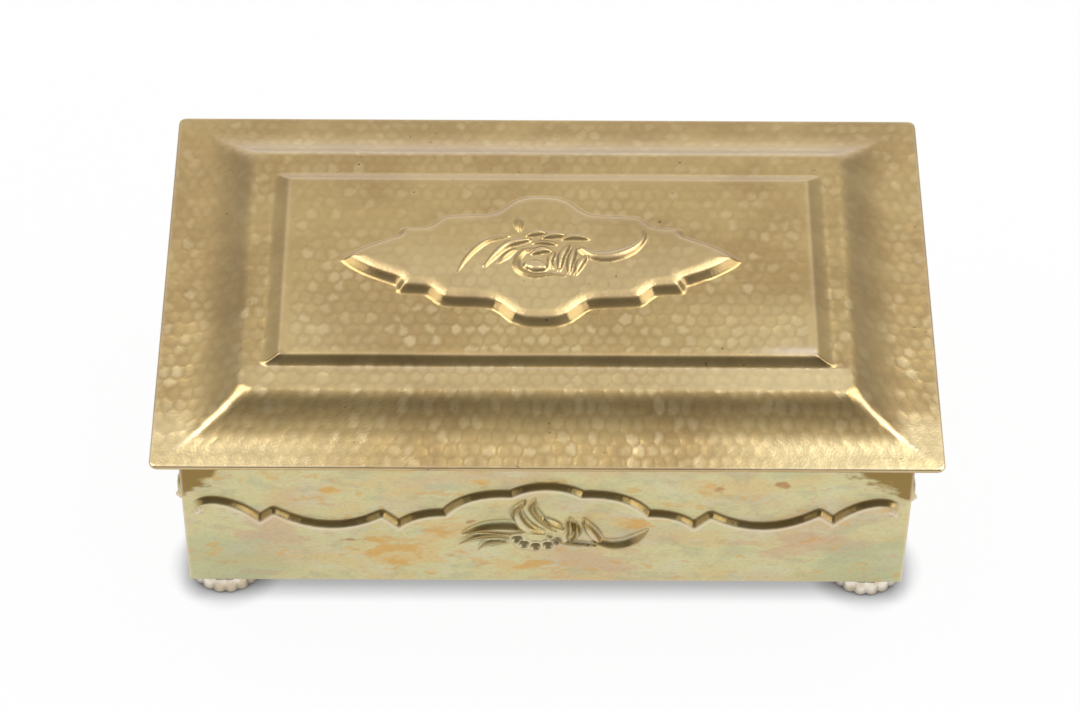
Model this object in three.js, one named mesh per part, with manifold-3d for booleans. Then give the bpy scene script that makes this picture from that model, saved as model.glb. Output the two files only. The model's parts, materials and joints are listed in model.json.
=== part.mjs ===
// A lidded casket in hammered sheet brass: a soldered box on four fluted feet, lined with cedar,
// under an overhanging pressed lid that turns on two butt hinges at the back.
// Millimetres, +Z up, +X to the right, the front faces -Y. The origin is on the ground, under the middle.

import * as THREE from 'three';
import { mergeVertices } from 'three/addons/utils/BufferGeometryUtils.js';
import Module from 'manifold-3d';

const wasm = await Module();
wasm.setup();

// Driving dimensions: the box
const BODY_WIDTH = 224;
const BODY_DEPTH = 132;
const WALL_HEIGHT = 63.5;
const WALL_SHEET = 1;
const PAN_SHEET = 0.8;
const PAN_FLANGE = 4;
const ANGLE_SHEET = 0.8;
const ANGLE_LEG = 7;
const BOARD = 3;

// Driving dimensions: the chased apron line on the walls
const APRON_END = 4.4;
const APRON_PROUD = 1.6;
const APRON_BEVEL = 1.8;
const APRON_FADE = 9;

// Driving dimensions: the feet and their screws
const FOOT_HEIGHT = 5.8;
const FOOT_RADIUS = 12;
const FOOT_SET_BACK = 10.9;
const FOOT_LOBES = 18;
const FLUTE_DEPTH = 0.9;
const SCREW_RADIUS = 1.5;
const SCREW_GRIP = 4;
const SCREW_HEAD_RADIUS = 2.8;
const SCREW_HEAD_HEIGHT = 1.5;
const SCREW_SLOT = 0.7;

// Driving dimensions: the lid, from its rim inwards and from the brim upwards
const OVERHANG = 8;
const LID_SHEET = 1;
const RIM_RADIUS = 2.5;
const RIM_ROUND = 0.5;
const HEM_WIDTH = 3.2;
const HEM_DROP = 0.4;
const BRIM_WIDTH = 10.5;
const BRIM_RISE = 0.8;
const COVE_WIDTH = 16.5;
const COVE_RISE = 8.2;
const PLATEAU_BORDER = 6;
const PANEL_BEVEL = 5;
const PANEL_RISE = 1.8;
const PANEL_RADIUS = 4.5;
const MITRE_RADIUS = 1.2;

// Driving dimensions: the cartouche on the lid's panel
const CARTOUCHE_WIDTH = 124.4;
const CARTOUCHE_DEPTH = 55.4;
const CARTOUCHE_RISE = 2.4;
const CARTOUCHE_BEVEL = 3.2;
const CARTOUCHE_SHIFT_X = -2;
const CARTOUCHE_SHIFT_Y = 1.5;

// Driving dimensions: the leaf scrolls
const SCROLL_WIDTH = 60;
const SCROLL_HEIGHT = 30;
const SCROLL_RELIEF = 1.2;
const SCROLL_DROP = 36;
const SCROLL_ROOT = 0.4;

// Driving dimensions: the locating lips and the pins through them
const LIP_DEPTH = 5.5;
const LIP_SHEET = 1;
const PIN_RADIUS = 0.6;
const PIN_LENGTH = 6;
const PIN_SET_IN_X = 42;
const PIN_SET_IN_Y = 34;

// Driving dimensions: the hinges
const HINGE_SET_IN = 52;
const HINGE_LENGTH = 40;
const HINGE_KNUCKLES = 5;
const HINGE_PIN_RADIUS = 0.9;
const HINGE_PIN_END = 0.6;
const LEAF_SHEET = 0.8;
const LEAF_DROP = 14;
const LEAF_REACH = 11;

// Clearances
const SEAT_GAP = 0.3;
const SOLDER_GAP = 0.3;
const FIT_GAP = 0.3;
const LIP_GAP = 0.5;
const RUNNING_GAP = 0.3;
const KNUCKLE_GAP = 0.4;
const HINGE_SIDE_GAP = 1.2;

// Facets
const CORNER_STEPS = 4;
const COVE_STEPS = 6;
const BEVEL_STEPS = 3;
const CURVE_STEPS = 5;
const STROKE_STEPS = 9;
const LOBE_STEPS = 4;
const ROUND_SIDES = 16;

// Levels and insets that follow from them
const wallBottom = FOOT_HEIGHT;
const wallTop = wallBottom + WALL_HEIGHT;
const seat = wallTop + SEAT_GAP;
const solderInset = WALL_SHEET + SOLDER_GAP;
const liningInset = solderInset + Math.max(PAN_SHEET, ANGLE_SHEET, LEAF_SHEET) + FIT_GAP;
const boardBottom = wallBottom + PAN_SHEET + FIT_GAP;
const boardTop = boardBottom + BOARD;
const lipTop = seat - SOLDER_GAP;
const lipBottom = lipTop - LIP_DEPTH;
const lipInset = WALL_SHEET + LIP_GAP;
const lidBoardTop = seat - FIT_GAP;
const lidBoardBottom = lidBoardTop - BOARD;
const lidBoardInset = lipInset + LIP_SHEET + FIT_GAP;
const knuckleRadius = solderInset + LEAF_SHEET;
const pinSpreadX = BODY_WIDTH - 2 * PIN_SET_IN_X;
const pinSpreadY = BODY_DEPTH - 2 * PIN_SET_IN_Y;
const hingeSpan = BODY_WIDTH - 2 * HINGE_SET_IN;
const hingeY = BODY_DEPTH / 2;
const hingeZ = lipTop - knuckleRadius;
// The lips end far enough in front of the hinge axis to swing clear of the back wall's top edge.
const lipBackY = hingeY - Math.hypot(WALL_SHEET, wallTop - hingeZ) - LIP_GAP;
const panelTop = seat + LID_SHEET + BRIM_RISE + COVE_RISE + PANEL_RISE;
const sides = { left: -1, right: 1 };
const ends = { front: -1, back: 1 };

// Solids

function solid(geometry) {
  const bare = geometry.index ? geometry.toNonIndexed() : geometry.clone();
  for (const name of Object.keys(bare.attributes)) {
    if (name !== 'position') bare.deleteAttribute(name);
  }
  const merged = mergeVertices(bare, 1e-4);
  const mesh = new wasm.Mesh({
    numProp: 3,
    vertProperties: new Float32Array(merged.attributes.position.array),
    triVerts: new Uint32Array(merged.index.array),
  });
  return new wasm.Manifold(mesh);
}

function geometryOf(body) {
  const mesh = body.getMesh();
  const geometry = new THREE.BufferGeometry();
  geometry.setAttribute('position', new THREE.BufferAttribute(new Float32Array(mesh.vertProperties), 3));
  geometry.setIndex(new THREE.BufferAttribute(new Uint32Array(mesh.triVerts), 1));
  geometry.computeVertexNormals();
  return geometry;
}

function block(low, high) {
  const size = high.map((value, axis) => value - low[axis]);
  const middle = high.map((value, axis) => (value + low[axis]) / 2);
  return solid(new THREE.BoxGeometry(...size).translate(...middle));
}

// A round bar from one point along an axis: 'x', 'y' or 'z'.
function bar(radius, length, axis, start) {
  const geometry = new THREE.CylinderGeometry(radius, radius, length, ROUND_SIDES);
  geometry.translate(0, length / 2, 0);
  if (axis === 'x') geometry.rotateZ(-Math.PI / 2);
  if (axis === 'z') geometry.rotateX(Math.PI / 2);
  return solid(geometry.translate(...start));
}

// A closed skin through rings of points that run the same way round, with a fan over each end.
function loft(rings) {
  const around = rings[0].length;
  const positions = rings.flat(2);
  const index = [];
  for (let ring = 0; ring + 1 < rings.length; ring += 1) {
    for (let step = 0; step < around; step += 1) {
      const next = (step + 1) % around;
      const a = ring * around + step;
      const b = ring * around + next;
      index.push(a, b, b + around, a, b + around, a + around);
    }
  }
  const last = (rings.length - 1) * around;
  for (let step = 1; step + 1 < around; step += 1) {
    index.push(0, step + 1, step, last, last + step, last + step + 1);
  }
  const geometry = new THREE.BufferGeometry();
  geometry.setAttribute('position', new THREE.Float32BufferAttribute(positions, 3));
  geometry.setIndex(index);
  return solid(geometry);
}

function roundedRing(halfX, halfY, radius, z) {
  const ring = [];
  const centres = [[1, 1], [-1, 1], [-1, -1], [1, -1]];
  centres.forEach(([signX, signY], corner) => {
    for (let step = 0; step <= CORNER_STEPS; step += 1) {
      const angle = (corner + step / CORNER_STEPS) * Math.PI / 2;
      ring.push([
        signX * (halfX - radius) + radius * Math.cos(angle),
        signY * (halfY - radius) + radius * Math.sin(angle),
        z,
      ]);
    }
  });
  return ring;
}

// A raised leaf stroke on the plane z = 0: a ridge along a curve, thin at both ends.
function stroke(points, width, height) {
  const curve = new THREE.SplineCurve(points.map(([x, y]) => new THREE.Vector2(x, y)));
  const rings = [];
  for (let step = 0; step <= STROKE_STEPS; step += 1) {
    const share = step / STROKE_STEPS;
    const swell = 0.15 + 0.85 * Math.sin(Math.PI * share);
    const at = curve.getPointAt(share);
    const along = curve.getTangentAt(share);
    const half = swell * width / 2;
    const section = [[-half, -SCROLL_ROOT], [half, -SCROLL_ROOT], [half, 0], [0, swell * height], [-half, 0]];
    rings.push(section.map(([side, up]) => [at.x - along.y * side, at.y + along.x * side, up]));
  }
  return loft(rings);
}

// Ornament

// The strokes of a leaf scroll, in shares of its half width and half height, with each stroke's breadth.
// A feathered leaf sweeps to the left, a curl sits in the middle, and a horn rises to the right.
const SCROLL_STROKES = [
  { breadth: 4.5, points: [[-0.97, -0.75], [-0.78, -0.1], [-0.45, 0.4], [-0.1, 0.45]] },
  { breadth: 3.5, points: [[-0.55, -0.5], [-0.42, -0.05], [-0.2, 0.2]] },
  { breadth: 5, points: [[0.05, 0.25], [-0.25, 0.1], [-0.27, -0.4], [0.02, -0.6]] },
  { breadth: 4, points: [[0.25, 0.3], [0.12, -0.1], [0.15, -0.55]] },
  { breadth: 6, points: [[0.38, 0.2], [0.55, -0.3], [0.85, -0.05], [1, 0.6]] },
];

function leafScroll() {
  const bodies = SCROLL_STROKES.map(({ breadth, points }) => {
    const placed = points.map(([x, y]) => [x * SCROLL_WIDTH / 2, y * SCROLL_HEIGHT / 2]);
    return stroke(placed, breadth, SCROLL_RELIEF);
  });
  return bodies.reduce((joined, body) => joined.add(body));
}

// The right half of the apron line: shares of the half run along the wall and of the wall's height.
function apronHalf(halfRun) {
  const at = (along, up) => [along * halfRun, up * WALL_HEIGHT];
  const path = new THREE.Path();
  path.moveTo(...at(0, 0.739));
  path.quadraticCurveTo(...at(0.06, 0.736), ...at(0.099, 0.68));
  path.quadraticCurveTo(...at(0.232, 0.692), ...at(0.288, 0.536));
  path.quadraticCurveTo(...at(0.38, 0.541), ...at(0.423, 0.442));
  path.lineTo(...at(0.471, 0.529));
  path.quadraticCurveTo(...at(0.624, 0.342), ...at(0.781, 0.548));
  path.lineTo(...at(0.822, 0.483));
  path.quadraticCurveTo(...at(0.887, 0.62), ...at(0.952, 0.625));
  path.quadraticCurveTo(...at(0.998, 0.625), ...at(1, 0.552));
  return path.getPoints(CURVE_STEPS);
}

// A chased ridge on the plane y = 0, facing -Y: steep above the line, fading out below it.
function apronRidge(halfRun) {
  const half = apronHalf(halfRun);
  const mirrored = half.slice(1).reverse().map((point) => new THREE.Vector2(-point.x, point.y));
  const rings = [...mirrored, ...half].map((point) => {
    const toEnd = halfRun - Math.abs(point.x);
    const proud = APRON_PROUD * Math.min(1, 0.1 + toEnd / APRON_END);
    const top = point.y + APRON_BEVEL;
    const foot = point.y - APRON_FADE;
    const root = WALL_SHEET / 2;
    const section = [[top, 0], [point.y, -proud], [foot, 0], [foot, root], [top, root]];
    return section.map(([up, back]) => [point.x, back, up]);
  });
  return loft(rings);
}

// A quarter of the cartouche's outline, from its tip to the crown, in shares of its half width and depth.
const CARTOUCHE_QUARTER = [
  [1, 0], [0.9, 0.2], [0.72, 0.4], [0.7, 0.49], [0.58, 0.49], [0.507, 0.68],
  [0.245, 0.7], [0.15, 0.92], [0.09, 0.985],
];

function cartouche() {
  const corner = CARTOUCHE_QUARTER.slice(1);
  const turned = [...corner].reverse();
  const outline = [
    ...CARTOUCHE_QUARTER,
    ...turned.map(([x, y]) => [-x, y]),
    [-1, 0],
    ...corner.map(([x, y]) => [-x, -y]),
    ...turned.map(([x, y]) => [x, -y]),
  ];
  const place = ([x, y]) => new THREE.Vector2(x * CARTOUCHE_WIDTH / 2, y * CARTOUCHE_DEPTH / 2);
  const geometry = new THREE.ExtrudeGeometry(new THREE.Shape(outline.map(place)), {
    depth: LID_SHEET,
    bevelThickness: CARTOUCHE_RISE,
    bevelSize: CARTOUCHE_BEVEL,
    bevelOffset: -CARTOUCHE_BEVEL,
    bevelSegments: 1,
    curveSegments: 1,
  });
  return solid(geometry.translate(CARTOUCHE_SHIFT_X, CARTOUCHE_SHIFT_Y, panelTop - LID_SHEET));
}

// The lid

// The top face from the edge of the brim to the panel: inset from the rim, height and corner radius.
function lidProfile() {
  const brimTop = seat + LID_SHEET;
  const coveFoot = brimTop + BRIM_RISE;
  const plateau = coveFoot + COVE_RISE;
  const points = [[RIM_ROUND, brimTop, RIM_RADIUS]];
  for (let step = 0; step <= COVE_STEPS; step += 1) {
    const share = step / COVE_STEPS;
    const rise = share * share * (3 - 2 * share);
    points.push([BRIM_WIDTH + share * COVE_WIDTH, coveFoot + rise * COVE_RISE, MITRE_RADIUS]);
  }
  const panelFoot = BRIM_WIDTH + COVE_WIDTH + PLATEAU_BORDER;
  for (let step = 0; step <= BEVEL_STEPS; step += 1) {
    const angle = step / BEVEL_STEPS * Math.PI / 2;
    points.push([
      panelFoot + PANEL_BEVEL * (1 - Math.cos(angle)),
      plateau + PANEL_RISE * Math.sin(angle),
      PANEL_RADIUS,
    ]);
  }
  return points;
}

// The same profile moved in by the sheet's thickness, square to itself.
function underside(profile) {
  return profile.map(([inset, height, radius], place) => {
    const before = profile[Math.max(place - 1, 0)];
    const after = profile[Math.min(place + 1, profile.length - 1)];
    const run = after[0] - before[0];
    const rise = after[1] - before[1];
    const length = Math.hypot(run, rise);
    return [inset + LID_SHEET * rise / length, height - LID_SHEET * run / length, radius];
  });
}

function lidShell() {
  const halfX = BODY_WIDTH / 2 + OVERHANG;
  const halfY = BODY_DEPTH / 2 + OVERHANG;
  const ring = ([inset, height, radius]) => roundedRing(halfX - inset, halfY - inset, radius, height);
  const hemBottom = seat - HEM_DROP;
  const top = lidProfile();
  const outer = loft([
    ring([RIM_ROUND, hemBottom, RIM_RADIUS]),
    ring([0, hemBottom + RIM_ROUND, RIM_RADIUS]),
    ring([0, seat + LID_SHEET - RIM_ROUND, RIM_RADIUS]),
    ...top.map(ring),
  ]);
  const below = underside(top).slice(2);
  const inner = loft([
    ring([HEM_WIDTH, hemBottom - LID_SHEET, MITRE_RADIUS]),
    ring([HEM_WIDTH, seat, MITRE_RADIUS]),
    ring([BRIM_WIDTH, seat, MITRE_RADIUS]),
    ...below.map(ring),
  ]);
  const pad = cartouche();
  const scroll = leafScroll().translate([CARTOUCHE_SHIFT_X, CARTOUCHE_SHIFT_Y, panelTop + CARTOUCHE_RISE]);
  const hollow = inner.add(pad.translate([0, 0, -LID_SHEET]));
  return outer.add(pad).subtract(hollow).add(scroll);
}

function lip(end) {
  const halfX = BODY_WIDTH / 2 - lipInset;
  const halfY = BODY_DEPTH / 2 - lipInset;
  const betweenHinges = hingeSpan / 2 - HINGE_LENGTH / 2 - HINGE_SIDE_GAP;
  const inFront = -halfY + LIP_SHEET + SOLDER_GAP;
  const boxes = {
    front: [[-halfX, -halfY, lipBottom], [halfX, -halfY + LIP_SHEET, lipTop]],
    back: [[-betweenHinges, lipBackY - LIP_SHEET, lipBottom], [betweenHinges, lipBackY, lipTop]],
    left: [[-halfX, inFront, lipBottom], [-halfX + LIP_SHEET, lipBackY, lipTop]],
    right: [[halfX - LIP_SHEET, inFront, lipBottom], [halfX, lipBackY, lipTop]],
  };
  return block(...boxes[end]);
}

// The pins that hold the lid's board: where each starts on the outside of its lip, and its direction.
function liningPins() {
  const halfX = BODY_WIDTH / 2 - lipInset;
  const halfY = BODY_DEPTH / 2 - lipInset;
  const middle = (lidBoardTop + lidBoardBottom) / 2;
  const pins = [];
  for (const share of [-0.5, 0.5]) {
    pins.push({ axis: 'y', start: [share * pinSpreadX, -halfY, middle] });
    pins.push({ axis: 'x', start: [-halfX, share * pinSpreadY, middle] });
    pins.push({ axis: 'x', start: [halfX - PIN_LENGTH, share * pinSpreadY, middle] });
  }
  return pins;
}

function drilledForPins(body) {
  const reach = PIN_LENGTH + 2 * FIT_GAP;
  return liningPins().reduce((drilled, { axis, start }) => {
    const from = start.map((value, place) => value - ('xyz'[place] === axis ? FIT_GAP : 0));
    return drilled.subtract(bar(PIN_RADIUS + FIT_GAP, reach, axis, from));
  }, body);
}

function lidBoard() {
  const halfX = BODY_WIDTH / 2 - lidBoardInset;
  const frontY = -BODY_DEPTH / 2 + lidBoardInset;
  const backY = lipBackY - LIP_SHEET - FIT_GAP;
  let board = block([-halfX, frontY, lidBoardBottom], [halfX, backY, lidBoardTop]);
  for (const side of Object.values(sides)) {
    const middle = side * hingeSpan / 2;
    const half = HINGE_LENGTH / 2 + HINGE_SIDE_GAP;
    const rebateFloor = lipTop - LEAF_SHEET - FIT_GAP;
    const rebateFront = hingeY - LEAF_REACH - FIT_GAP;
    board = board.subtract(block(
      [middle - half, rebateFront, rebateFloor],
      [middle + half, hingeY, lidBoardTop + FIT_GAP],
    ));
  }
  return drilledForPins(board);
}

// The box

function wall(length, distance, carved) {
  const half = length / 2;
  const plate = block([-half, 0, 0], [half, WALL_SHEET, WALL_HEIGHT]);
  let body = plate.add(apronRidge(half - APRON_END));
  if (carved) {
    const scroll = leafScroll().rotate([90, 0, 0]);
    body = body.add(scroll.translate([0, 0, WALL_HEIGHT - SCROLL_DROP]));
  }
  return body.translate([0, -distance, wallBottom]);
}

// The back wall is built facing front like the others, so its hinge notches are cut at its own top edge.
function backWall() {
  let body = wall(BODY_WIDTH, BODY_DEPTH / 2, false);
  const notchFloor = hingeZ - knuckleRadius - KNUCKLE_GAP;
  for (const side of Object.values(sides)) {
    const middle = side * hingeSpan / 2;
    const half = HINGE_LENGTH / 2 + HINGE_SIDE_GAP;
    body = body.subtract(block(
      [middle - half, -BODY_DEPTH / 2 - WALL_SHEET, notchFloor],
      [middle + half, -BODY_DEPTH / 2 + 2 * WALL_SHEET, wallTop + WALL_SHEET],
    ));
  }
  return body;
}

function footCentre(side, end) {
  return [side * (BODY_WIDTH / 2 - FOOT_SET_BACK), end * (BODY_DEPTH / 2 - FOOT_SET_BACK)];
}

function basePan() {
  const halfX = BODY_WIDTH / 2 - solderInset;
  const halfY = BODY_DEPTH / 2 - solderInset;
  const floor = wallBottom + PAN_SHEET;
  const outside = block([-halfX, -halfY, wallBottom], [halfX, halfY, wallBottom + PAN_FLANGE]);
  const inside = block(
    [-halfX + PAN_SHEET, -halfY + PAN_SHEET, floor],
    [halfX - PAN_SHEET, halfY - PAN_SHEET, floor + PAN_FLANGE],
  );
  let pan = outside.subtract(inside);
  for (const side of Object.values(sides)) {
    for (const end of Object.values(ends)) {
      const start = [...footCentre(side, end), wallBottom - PAN_SHEET];
      pan = pan.subtract(bar(SCREW_RADIUS + FIT_GAP, 3 * PAN_SHEET, 'z', start));
    }
  }
  return pan;
}

function cornerAngle(side, end) {
  const x = BODY_WIDTH / 2 - solderInset;
  const y = BODY_DEPTH / 2 - solderInset;
  const low = wallBottom + PAN_FLANGE + FIT_GAP;
  const high = lipBottom - FIT_GAP;
  const between = (a, b) => [Math.min(a, b), Math.max(a, b)];
  const leg = (legX, legY) => {
    const [lowX, highX] = between(side * x, side * (x - legX));
    const [lowY, highY] = between(end * y, end * (y - legY));
    return block([lowX, lowY, low], [highX, highY, high]);
  };
  return leg(ANGLE_LEG, ANGLE_SHEET).add(leg(ANGLE_SHEET, ANGLE_LEG));
}

// A squat fluted foot, cut off flat below, with a blind hole for its screw.
function foot() {
  const top = FOOT_HEIGHT - SOLDER_GAP;
  const levels = [[0.95, 0], [0.99, 0.1], [1, 0.28], [0.97, 0.65], [0.92, 1]];
  const around = FOOT_LOBES * LOBE_STEPS;
  const rings = levels.map(([share, up]) => {
    const ring = [];
    for (let step = 0; step < around; step += 1) {
      const angle = step / around * 2 * Math.PI;
      const flute = FLUTE_DEPTH * (1 - Math.abs(Math.cos(angle * FOOT_LOBES / 2)));
      const radius = share * FOOT_RADIUS - flute;
      ring.push([radius * Math.cos(angle), radius * Math.sin(angle), up * top]);
    }
    return ring;
  });
  const hole = bar(SCREW_RADIUS + FIT_GAP, SCREW_GRIP + FIT_GAP, 'z', [0, 0, top - SCREW_GRIP]);
  return loft(rings).subtract(hole);
}

// A slotted screw on the axis x = y = 0, with its head seated on the pan.
function footScrew() {
  const under = wallBottom + PAN_SHEET + FIT_GAP / 2;
  const tip = FOOT_HEIGHT - SOLDER_GAP - SCREW_GRIP + FIT_GAP;
  const top = under + SCREW_HEAD_HEIGHT;
  const profile = [
    [0, tip], [SCREW_RADIUS, tip], [SCREW_RADIUS, under],
    [SCREW_HEAD_RADIUS, under], [SCREW_HEAD_RADIUS, top], [0, top],
  ].map(([radius, height]) => new THREE.Vector2(radius, height));
  const lathe = new THREE.LatheGeometry(profile, ROUND_SIDES).rotateX(Math.PI / 2);
  const slot = block(
    [-2 * SCREW_HEAD_RADIUS, -SCREW_SLOT / 2, top - SCREW_SLOT],
    [2 * SCREW_HEAD_RADIUS, SCREW_SLOT / 2, top + SCREW_SLOT],
  );
  return solid(lathe).subtract(slot);
}

function floorBoard() {
  const halfX = BODY_WIDTH / 2 - liningInset;
  const halfY = BODY_DEPTH / 2 - liningInset;
  let board = block([-halfX, -halfY, boardBottom], [halfX, halfY, boardTop]);
  const pocket = SCREW_HEAD_HEIGHT + FIT_GAP;
  for (const side of Object.values(sides)) {
    for (const end of Object.values(ends)) {
      const start = [...footCentre(side, end), boardBottom - FIT_GAP];
      board = board.subtract(bar(SCREW_HEAD_RADIUS + FIT_GAP, pocket + FIT_GAP / 2, 'z', start));
    }
  }
  return board;
}

function lining(place) {
  const halfX = BODY_WIDTH / 2 - liningInset;
  const halfY = BODY_DEPTH / 2 - liningInset;
  const low = boardTop + FIT_GAP;
  const high = lipBottom - LIP_GAP;
  const between = halfY - BOARD - FIT_GAP;
  const boxes = {
    front: [[-halfX, -halfY, low], [halfX, -halfY + BOARD, high]],
    back: [[-halfX, halfY - BOARD, low], [halfX, halfY, high]],
    left: [[-halfX, -between, low], [-halfX + BOARD, between, high]],
    right: [[halfX - BOARD, -between, low], [halfX, between, high]],
  };
  return block(...boxes[place]);
}

// The hinges, built about their own axis: x along the pin, y and z measured from it

const KNUCKLE_PITCH = HINGE_LENGTH / HINGE_KNUCKLES;

// One leaf: a plate that clears the other leaf's knuckles and carries its own, bored for the pin.
function hingeLeaf(plate, owns) {
  let leaf = plate;
  for (let knuckle = 0; knuckle < HINGE_KNUCKLES; knuckle += 1) {
    const start = -HINGE_LENGTH / 2 + knuckle * KNUCKLE_PITCH;
    if (owns(knuckle)) {
      const length = KNUCKLE_PITCH - KNUCKLE_GAP;
      leaf = leaf.add(bar(knuckleRadius, length, 'x', [start + KNUCKLE_GAP / 2, 0, 0]));
    } else {
      const radius = knuckleRadius + KNUCKLE_GAP;
      const length = KNUCKLE_PITCH + KNUCKLE_GAP;
      leaf = leaf.subtract(bar(radius, length, 'x', [start - KNUCKLE_GAP / 2, 0, 0]));
    }
  }
  const bore = HINGE_PIN_RADIUS + RUNNING_GAP;
  return leaf.subtract(bar(bore, 2 * HINGE_LENGTH, 'x', [-HINGE_LENGTH, 0, 0]));
}

function bodyLeaf() {
  const half = HINGE_LENGTH / 2 - KNUCKLE_GAP / 2;
  const plate = block([-half, -knuckleRadius, -LEAF_DROP], [half, -knuckleRadius + LEAF_SHEET, 0]);
  return hingeLeaf(plate, (knuckle) => knuckle % 2 === 0);
}

function lidLeaf() {
  const half = HINGE_LENGTH / 2 - KNUCKLE_GAP / 2;
  const plate = block([-half, -LEAF_REACH, knuckleRadius - LEAF_SHEET], [half, 0, knuckleRadius]);
  return hingeLeaf(plate, (knuckle) => knuckle % 2 === 1);
}

function hingePin() {
  const half = HINGE_LENGTH / 2 + HINGE_PIN_END;
  return bar(HINGE_PIN_RADIUS, 2 * half, 'x', [-half, 0, 0]);
}

// Materials

const hammered = new THREE.MeshStandardMaterial({ color: 0xc2a05c, roughness: 0.34, metalness: 1 });
const tarnished = new THREE.MeshStandardMaterial({ color: 0xc8b981, roughness: 0.42, metalness: 1 });
const castBrass = new THREE.MeshStandardMaterial({ color: 0xd9c48e, roughness: 0.3, metalness: 1 });
const rolledBrass = new THREE.MeshStandardMaterial({ color: 0xb8975a, roughness: 0.38, metalness: 1 });
const cedar = new THREE.MeshStandardMaterial({ color: 0x9a5f3c, roughness: 0.75, metalness: 0 });

// Assembly

const casket = new THREE.Group();

function place(parent, name, body, material) {
  const mesh = new THREE.Mesh(geometryOf(body), material);
  mesh.name = name;
  parent.add(mesh);
  return mesh;
}

const sideLength = BODY_DEPTH - 2 * (WALL_SHEET + SOLDER_GAP);
place(casket, 'front_wall', wall(BODY_WIDTH, BODY_DEPTH / 2, true), tarnished);
place(casket, 'back_wall', backWall(), tarnished).rotation.z = Math.PI;
place(casket, 'left_wall', wall(sideLength, BODY_WIDTH / 2, false), tarnished).rotation.z = -Math.PI / 2;
place(casket, 'right_wall', wall(sideLength, BODY_WIDTH / 2, false), tarnished).rotation.z = Math.PI / 2;
place(casket, 'base_pan', basePan(), rolledBrass);
place(casket, 'floor_board', floorBoard(), cedar);

for (const end of ['front', 'back', 'left', 'right']) {
  place(casket, `lining_${end}`, lining(end), cedar);
  place(casket, `lid_lip_${end}`, drilledForPins(lip(end)), rolledBrass);
}

for (const [sideName, side] of Object.entries(sides)) {
  for (const [endName, end] of Object.entries(ends)) {
    const corner = `${endName}_${sideName}`;
    const [x, y] = footCentre(side, end);
    place(casket, `corner_angle_${corner}`, cornerAngle(side, end), rolledBrass);
    place(casket, `foot_${corner}`, foot(), castBrass).position.set(x, y, 0);
    place(casket, `foot_screw_${corner}`, footScrew(), rolledBrass).position.set(x, y, 0);
  }
}

for (const [sideName, side] of Object.entries(sides)) {
  const hinge = new THREE.Group();
  hinge.position.set(side * hingeSpan / 2, hingeY, hingeZ);
  place(hinge, `hinge_${sideName}_body_leaf`, bodyLeaf(), rolledBrass);
  place(hinge, `hinge_${sideName}_lid_leaf`, lidLeaf(), rolledBrass);
  place(hinge, `hinge_${sideName}_pin`, hingePin(), rolledBrass);
  casket.add(hinge);
}

place(casket, 'lid_shell', lidShell(), hammered);
place(casket, 'lid_lining_board', lidBoard(), cedar);
liningPins().forEach(({ axis, start }, number) => {
  place(casket, `lid_lining_pin_${number + 1}`, bar(PIN_RADIUS, PIN_LENGTH, axis, start), rolledBrass);
});

export default casket;
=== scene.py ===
"""The hammered brass casket: visible shapes, finishes and a studio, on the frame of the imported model.

The lid, walls and feet are built here as fine meshes. The fittings and the cedar boards are the frame's own
shapes with their edges softened. Plan sizes are worked in millimetres and turned to metres for the meshes.
"""

import json
import math
from collections import namedtuple

import bmesh
import bpy
import numpy as np
from mathutils import Matrix, Vector


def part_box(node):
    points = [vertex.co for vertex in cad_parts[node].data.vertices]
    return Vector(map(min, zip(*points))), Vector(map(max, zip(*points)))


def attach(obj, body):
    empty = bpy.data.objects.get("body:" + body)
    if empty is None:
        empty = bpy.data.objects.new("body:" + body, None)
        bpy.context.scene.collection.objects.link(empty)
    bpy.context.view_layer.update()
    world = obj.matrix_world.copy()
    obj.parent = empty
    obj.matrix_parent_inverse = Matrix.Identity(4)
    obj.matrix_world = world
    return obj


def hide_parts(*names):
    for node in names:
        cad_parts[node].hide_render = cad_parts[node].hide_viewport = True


bl_info = {
    "name": "Hammered Brass Casket",
    "version": (1, 0, 0),
    "blender": (4, 5, 0),
    "location": "3D View > Sidebar > Casket",
    "description": "Builds the visible lid, walls, feet and lining of a hammered brass casket",
    "category": "Object",
}

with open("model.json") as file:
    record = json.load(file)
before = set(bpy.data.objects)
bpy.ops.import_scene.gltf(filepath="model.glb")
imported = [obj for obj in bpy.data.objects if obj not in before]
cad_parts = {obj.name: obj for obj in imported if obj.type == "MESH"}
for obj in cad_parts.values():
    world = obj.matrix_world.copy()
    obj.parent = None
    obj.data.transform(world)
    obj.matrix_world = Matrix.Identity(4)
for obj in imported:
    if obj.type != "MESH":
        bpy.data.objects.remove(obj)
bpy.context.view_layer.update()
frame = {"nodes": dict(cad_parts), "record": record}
MM = 0.001


def span(node):
    """Lowest and highest corner of a frame node, in millimetres."""
    return [np.array(corner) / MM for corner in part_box(node)]


# Levels and half sizes that come from the frame
LID_LOW, LID_HIGH = span("lid_shell")
WALL_LOW, WALL_HIGH = span("front_wall")
RIM_X, RIM_Y = LID_HIGH[0], LID_HIGH[1]
HEM_BOTTOM = LID_LOW[2]
WALL_HALF = WALL_HIGH[0]
WALL_BOTTOM, WALL_TOP = WALL_LOW[2], WALL_HIGH[2]
WALL_RISE = WALL_TOP - WALL_BOTTOM

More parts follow.
